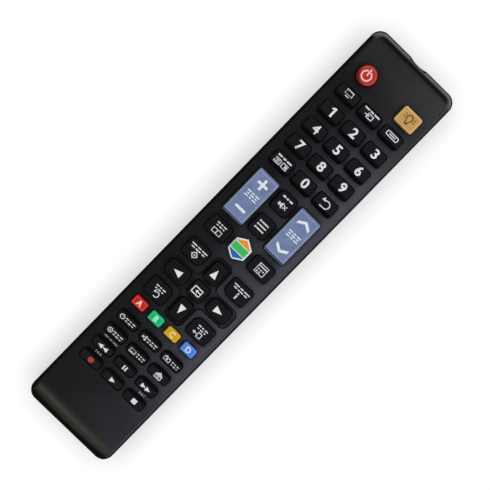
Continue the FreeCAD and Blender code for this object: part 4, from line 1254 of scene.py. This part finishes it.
@dataclass
class Keys:
    """The keys: a finish for each cap, and the legends printed on them."""

    palette: Palette
    round_key: str = "key_power"
    # The black caps get painted shade on the raised high edge of their sloped tops, between these heights.
    black: KeyRubber = KeyRubber("black_key", (0.0030, 0.0031, 0.0046), 0.52, 0.12, tall=span(21.12, 21.32))
    # The numbers after the colour are roughness, specular, mottle, the painted highlight on the rim and how
    # far the plan moves for the painted shade on the far side.
    finishes: dict[str, KeyRubber] = field(default_factory=lambda: {
        "key_power": KeyRubber("red_power_key", (0.44, 0.026, 0.014), 0.38, 0.20, 0.06, 0.12, 0.75 * MM),
        "key_light": KeyRubber("amber_key", (0.52, 0.300, 0.078), 0.40, 0.34, 0.08, 0.55, 0.40 * MM),
        "key_volume": KeyRubber("volume_rocker", (0.150, 0.195, 0.350), 0.46, 0.26, 0.10, 0.30),
        "key_channel": KeyRubber("channel_rocker", (0.150, 0.195, 0.350), 0.46, 0.26, 0.10, 0.30),
        "key_home": KeyRubber("white_key", (0.78, 0.79, 0.80), 0.36, 0.45, 0.03),
        "key_red": KeyRubber("red_key", (0.54, 0.013, 0.007), 0.42, 0.08, 0.06, 0.14),
        "key_green": KeyRubber("green_key", (0.002, 0.430, 0.170), 0.42, 0.10, 0.06, 0.18),
        "key_yellow": KeyRubber("yellow_key", (0.61, 0.335, 0.002), 0.42, 0.08, 0.06, 0.20),
        "key_blue": KeyRubber("blue_key", (0.060, 0.195, 0.660), 0.42, 0.10, 0.06, 0.22),
    })

    def build(self) -> None:
        """Dress the caps and print their legends."""
        for body in sorted(frame["bodies"]):
            if not body.startswith("key_"):
                continue
            finish = self.finishes.get(body, self.black)
            # The coloured caps get their plan, which places their painted highlight and shade.
            if body in self.finishes:
                finish = replace(finish, cap=Cap.of(body, body == self.round_key))
            self.palette.dress(frame["nodes"][body], finish)
        for node, legend in legends().items():
            piece = legend.print_on(f"legend_{node[4:]}", node, *middle_of(node), self.palette)
            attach(piece, node)


@dataclass
class HomeInlays:
    """Three coloured bands let into the white top of the home key."""

    palette: Palette
    node: str = "key_home"
    rim: float = 0.62
    line: float = 0.36
    height: float = 0.10
    sink: float = 0.02
    inks: tuple[Ink, ...] = (Ink.INLAY_ORANGE, Ink.INLAY_GREEN, Ink.INLAY_BLUE)

    def build(self) -> None:
        """Cut each band out of a copy of one hexagon and lay it on the key."""
        low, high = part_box(self.node)
        width = (high.x - low.x) / MM - 2.0 * KEY_FLANGE
        length = (high.y - low.y) / MM - 2.0 * KEY_FLANGE
        limits = (length, length / 6.0, -length / 6.0, -length)
        bands = copies(self._hexagon(width, length), len(self.inks))
        for number, (band, ink) in enumerate(zip(bands, self.inks)):
            for limit, side in ((limits[number], 1.0), (limits[number + 1], -1.0)):
                with editing(band):
                    bpy.ops.mesh.bisect(plane_co=(0.0, limit - side * self.line / 2.0, 0.0),
                                        plane_no=(0.0, side, 0.0), clear_outer=True)
            apply_modifier(band, "SOLIDIFY", thickness=self.height, offset=1.0)
            set_down(band, (*middle_of(self.node), high.z - self.sink * MM))
            band.name = f"home_inlay_{number + 1}"
            self.palette.dress(band, ink.value)
            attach(band, self.node)
            log.info("laid %s", band.name)

    def _hexagon(self, width: float, length: float) -> Piece:
        """Draw the hexagon inside the white rim, with points to the head and the foot.

        Args:
            width: The width of the key's top.
            length: The length of the key's top.

        Returns:
            The flat hexagon.
        """
        hexagon = polygon(6, 0.0, width, length)
        with editing(hexagon, faces=every):
            bpy.ops.mesh.inset(thickness=self.rim, depth=0.0)
            bpy.ops.mesh.select_all(action="INVERT")
            bpy.ops.mesh.delete(type="FACE")
        return hexagon


@dataclass
class FacePrints:
    """The tiny grey marks printed on the casing between the lowest rows of keys."""

    palette: Palette
    aside: float = 0.5
    below: float = 1.35

    def build(self) -> None:
        """Print a mark below each of three keys."""
        back = (Bar(-1.35, 0.0, 0.3, 1.1), *(Triangle(x, 0.0, 1.15, 1.1, 180.0) for x in (-0.5, 0.75)))
        onward = (*(Triangle(x, 0.0, 1.15, 1.1) for x in (-0.75, 0.5)), Bar(1.35, 0.0, 0.3, 1.1))
        marks = {"support": dashes(0.0, 0.0, 7.0, 1, 0.55), "rewind": back, "forward": onward}
        for key, strokes in marks.items():
            low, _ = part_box(f"key_{key}")
            x = middle_of(f"key_{key}")[0] + self.aside * MM
            y = low.y + KEY_FLANGE * MM - self.below * MM
            legend = Legend(strokes, Ink.FACE_GREY)
            piece = legend.print_on(f"face_print_{key}", "front_shell", x, y, self.palette)
            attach(piece, "casing")


@dataclass
class BatteryBay:
    """What shows once the lid is off: two jacketed cells, their springs and flat contacts."""

    palette: Palette
    cell_radius: float = 5.25
    can_length: float = 43.3
    can_rim: float = 0.8
    button_radius: float = 1.9
    button_length: float = 1.2
    button_draft: float = 0.06
    button_edge: Span = (0.3, 0.1)
    can_edge: float = 0.16
    button_steps: tuple[Span, ...] = ((0.45, 0.0), (0.4, -0.3), (0.35, 0.0), (0.3, 0.3), (0.15, 0.0))
    foot_steps: tuple[Span, ...] = ((0.5, 0.0), (0.35, -0.25), (0.6, 0.0), (0.3, 0.15))
    plate_size: float = 8.0
    plate_thickness: float = 0.4
    plate_edge: float = 0.09
    tab_width: float = 2.0
    wire: float = 0.7
    coil_length: float = 5.5
    coil_wide: float = 3.15
    coil_narrow: float = 1.95
    coil_turns: float = 5.5
    coil_steps: int = 132

    def build(self) -> None:
        """Turn the cells and wind the springs in the places that the frame gives."""
        low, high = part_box("battery_cells")
        x_middle = high.x - self.cell_radius * MM
        z_middle = (low.z + high.z) / 2.0
        cells = copies(self._cell(), 2)
        for cell, side, sign in zip(cells, ("left", "right"), (-1.0, 1.0)):
            button_end = high.y if sign < 0.0 else low.y
            middle = button_end + sign * (self.button_length + self.can_length / 2.0) * MM
            set_down(cell, (sign * x_middle, middle, z_middle), (90.0 * sign, 0.0, 0.0))
            cell.name = f"cell_{side}"
            smooth(cell)
            self.palette.dress(cell, CellJacket(f"cell_jacket_{side}", button_end, -sign))
            cell.data.materials.append(self.palette.get(PlatedSteel("cell_can")))
            for face in cell.data.polygons:
                away = math.hypot(face.center.x - sign * x_middle, face.center.z - z_middle)
                face.material_index = 1 if away < (self.cell_radius - self.can_rim) * MM else 0
            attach(cell, "casing")
            log.info("turned %s", cell.name)
        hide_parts("battery_cells")
        self._springs(x_middle, z_middle)
        self.palette.dress(frame["nodes"]["plate_contacts"], PlatedSteel())

    def _cell(self) -> Piece:
        """Shape one cell about the origin, in millimetres, with its button end up.

        Returns:
            The cell.
        """
        bpy.ops.mesh.primitive_cylinder_add(vertices=56, radius=self.cell_radius, depth=self.can_length)
        cell = bpy.context.object
        shoulder = self.cell_radius - self.button_radius - sum(width for width, _ in self.button_steps)
        rise = self.button_length - self.button_edge[1]
        with editing(cell, faces=lambda centre, normal: normal.z > HALF and centre.z > 0.0):
            inset_in_steps((*self.button_steps, (shoulder, 0.0), (self.button_draft, rise), self.button_edge))
        with editing(cell, faces=lambda centre, normal: normal.z < -HALF and centre.z < 0.0):
            inset_in_steps(self.foot_steps)
        apply_modifier(cell, "BEVEL", width=self.can_edge, segments=2, limit_method="ANGLE")
        return cell

    def _springs(self, x_middle: float, z_middle: float) -> None:
        """Make the two sprung contacts and put them in place of the plain ones.

        Args:
            x_middle: How far a cell's axis is from the middle.
            z_middle: The height of a cell's axis.
        """
        low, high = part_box("spring_contacts")
        tab_height = (high.z - z_middle) / MM
        contacts = copies(join([*self._plate(tab_height), self._coil()], "wound_springs"), 2)
        for contact, sign, wall, turn in zip(contacts, (-1.0, 1.0), (low.y, high.y), (180.0, 0.0)):
            set_down(contact, (sign * x_middle, wall, z_middle), (90.0, 0.0, turn))
            smooth(contact)
        springs = join(contacts, "wound_springs")
        self.palette.dress(springs, PlatedSteel())
        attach(springs, "casing")
        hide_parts("spring_contacts")
        log.info("wound %s", springs.name)

    def _plate(self, tab_height: float) -> list[Piece]:
        """Cut the contact plate and its soldering tab, lying flat in millimetres.

        Args:
            tab_height: How far the tab reaches from the cell's axis.

        Returns:
            The plate and the tab.
        """
        half = self.plate_size / 2.0
        pieces = []
        for width, length, middle in ((self.plate_size, self.plate_size, 0.0),
                                      (self.tab_width, tab_height - half, (tab_height + half) / 2.0)):
            bpy.ops.mesh.primitive_cube_add(size=1.0, location=(0.0, middle, self.plate_thickness / 2.0))
            plate = bpy.context.object
            plate.scale = (width, length, self.plate_thickness)
            apply_place(plate)
            apply_modifier(plate, "BEVEL", width=self.plate_edge, segments=2)
            pieces.append(plate)
        return pieces

    def _coil(self) -> Piece:
        """Wind one tapered coil that stands on its plate, in millimetres.

        Returns:
            The coil.
        """
        bpy.ops.mesh.primitive_circle_add(vertices=12, radius=self.wire / 2.0,
                                          location=(self.coil_wide, 0.0, 0.0),
                                          rotation=(math.radians(90.0), 0.0, 0.0))
        coil = bpy.context.object
        apply_place(coil)
        rise = self.coil_length - self.wire - self.plate_thickness * HALF
        apply_modifier(coil, "SCREW", angle=math.tau * self.coil_turns, screw_offset=rise,
                       steps=self.coil_steps, render_steps=self.coil_steps, axis="Z", iterations=1,
                       use_merge_vertices=False)
        apply_modifier(coil, "SIMPLE_DEFORM", deform_method="TAPER", deform_axis="Z",
                       factor=self.coil_narrow / self.coil_wide - 1.0)
        low, _ = reach_of(coil)
        coil.location.z = self.plate_thickness - low.z
        apply_place(coil)
        with editing(coil):
            bpy.ops.mesh.remove_doubles(threshold=MERGED)
            bpy.ops.mesh.fill_holes(sides=0)
            bpy.ops.mesh.normals_make_consistent(inside=False)
        return coil


@dataclass
class Casing:
    """The shells, the lid, the window and the parts inside: a finish for each."""

    palette: Palette
    finishes: dict[str, Finish] = field(default_factory=lambda: {
        "front_shell": MouldedPlastic(),
        "back_shell": MouldedPlastic(),
        "battery_lid": MouldedPlastic(),
        "ir_window": TINTED_WINDOW,
        "circuit_board": SolderMask(),
        "keypad_mat": SILICONE_SHEET,
        "ir_emitters": ClearEpoxy(),
        "board_components": COMPONENT_CASE,
    })

    def build(self) -> None:
        """Give each node its finish."""
        for node, finish in self.finishes.items():
            self.palette.dress(frame["nodes"][node], finish)
            log.info("dressed %s", node)


@dataclass(frozen=True)
class Lamp:
    """One soft rectangular lamp that points at the object."""

    name: str
    place: tuple[float, float, float]
    size: tuple[float, float]
    power: float
    colour: Colour = (1.0, 1.0, 1.0)

    def hang(self) -> None:
        """Hang the lamp."""
        bpy.ops.object.light_add(type="AREA", location=self.place)
        lamp = bpy.context.object
        lamp.name = self.name
        lamp.data.shape = "RECTANGLE"
        lamp.data.size, lamp.data.size_y = self.size
        lamp.data.energy = self.power
        lamp.data.color = self.colour
        lamp.rotation_euler = (-Vector(self.place)).to_track_quat("-Z", "Y").to_euler()


@dataclass
class Studio:
    """The pale floor, the soft lights and the camera at the photograph's angle."""

    eye: tuple[float, float, float] = (-0.0146, 0.0127, 0.4403)
    turn: tuple[float, float, float] = (-1.473, -2.041, 44.247)
    focal_pixels: float = 1071.6
    frame_pixels: float = 490.0
    sensor: float = 36.0
    nearest: float = 10.0 * MM
    floor_side: float = 6.0
    floor_colour: Colour = (0.80, 0.80, 0.80)
    floor_roughness: float = 0.9
    seen_floor: Colour = (0.09, 0.09, 0.09)
    seen_white: float = 0.945
    # Painted shadow: the floor that the camera sees darkens within this reach of the object, by up to this
    # depth.
    halo_reach: float = 0.0125
    halo_depth: float = 0.60
    zenith: float = 0.15
    horizon: float = 0.80
    zenith_from: float = 0.8
    lamps: tuple[Lamp, ...] = (
        Lamp("right_lamp", (0.62, 0.02, 0.92), (0.62, 0.62), 6.6, (0.93, 0.96, 1.0)),
        Lamp("head_lamp", (-0.10, 1.05, 0.62), (0.70, 0.40), 5.2),
        Lamp("foot_lamp", (-0.10, -0.85, 0.72), (0.60, 0.22), 2.2, (0.96, 1.0, 0.84)),
        Lamp("left_lamp", (-1.0, 0.10, 0.70), (0.50, 0.50), 1.0),
    )

    def build(self) -> None:
        """Make the camera, floor, lights and sky."""
        self._camera()
        self._floor()
        self._sky()
        for lamp in self.lamps:
            lamp.hang()
        bpy.context.scene.view_settings.view_transform = "Standard"

    def _camera(self) -> None:
        """Stand the camera where the photograph was taken."""
        bpy.ops.object.camera_add(location=self.eye)
        camera = bpy.context.object
        camera.rotation_mode = "ZYX"
        camera.rotation_euler = tuple(math.radians(angle) for angle in self.turn)
        camera.data.sensor_width = self.sensor
        camera.data.lens = self.sensor * self.focal_pixels / self.frame_pixels
        camera.data.clip_start = self.nearest
        bpy.context.scene.camera = camera

    def _floor(self) -> None:
        """Lay the floor, which the camera and reflections see paler than it lights the object, with a painted
        shadow close round the object.
        """
        bpy.ops.mesh.primitive_plane_add(size=self.floor_side)
        floor = bpy.context.object
        floor.name = "floor"
        shader = Shader(bpy.data.materials.new("pale_floor"))
        seen = shader.ray("Camera").most(shader.ray("Glossy")).most(shader.ray("Transmission"))
        # Painted shadow close round the object on what the camera sees of the floor.
        painted_shadow = (1.0 - shader.openness(self.halo_reach)) * self.halo_depth
        level = (1.0 - painted_shadow) * self.seen_white * seen
        floor.data.materials.append(shader.finish({
            "Base Color": shader.blend(seen, self.floor_colour, self.seen_floor),
            "Emission Color": shader.blend(level, (0.0, 0.0, 0.0), (1.0, 1.0, 1.0)),
            "Emission Strength": 1.0,
            "Roughness": self.floor_roughness,
            "Specular IOR Level": 0.0,
        }))

    def _sky(self) -> None:
        """Surround the scene with a soft sky, dim overhead, which the camera itself sees white."""
        world = bpy.data.worlds.new("studio_sky")
        bpy.context.scene.world = world
        sky = Shader(world)
        _, _, up = sky.axes(sky.place("Generated"))
        fade = sky.add("ShaderNodeMapRange", {}, {
            "Value": up, "From Max": self.zenith_from, "To Min": self.horizon, "To Max": self.zenith})
        sky.finish({"Color": (1.0, 1.0, 1.0), "Strength": fade.most(sky.ray("Camera"))})


def main() -> None:
    """Build each sub-assembly in order."""
    logging.basicConfig(level=logging.INFO, format="%(name)s: %(message)s")
    palette = Palette()
    for part in (Casing, Keys, HomeInlays, FacePrints, BatteryBay):
        part(palette).build()
    Studio().build()


if __name__ == "__main__":
    main()
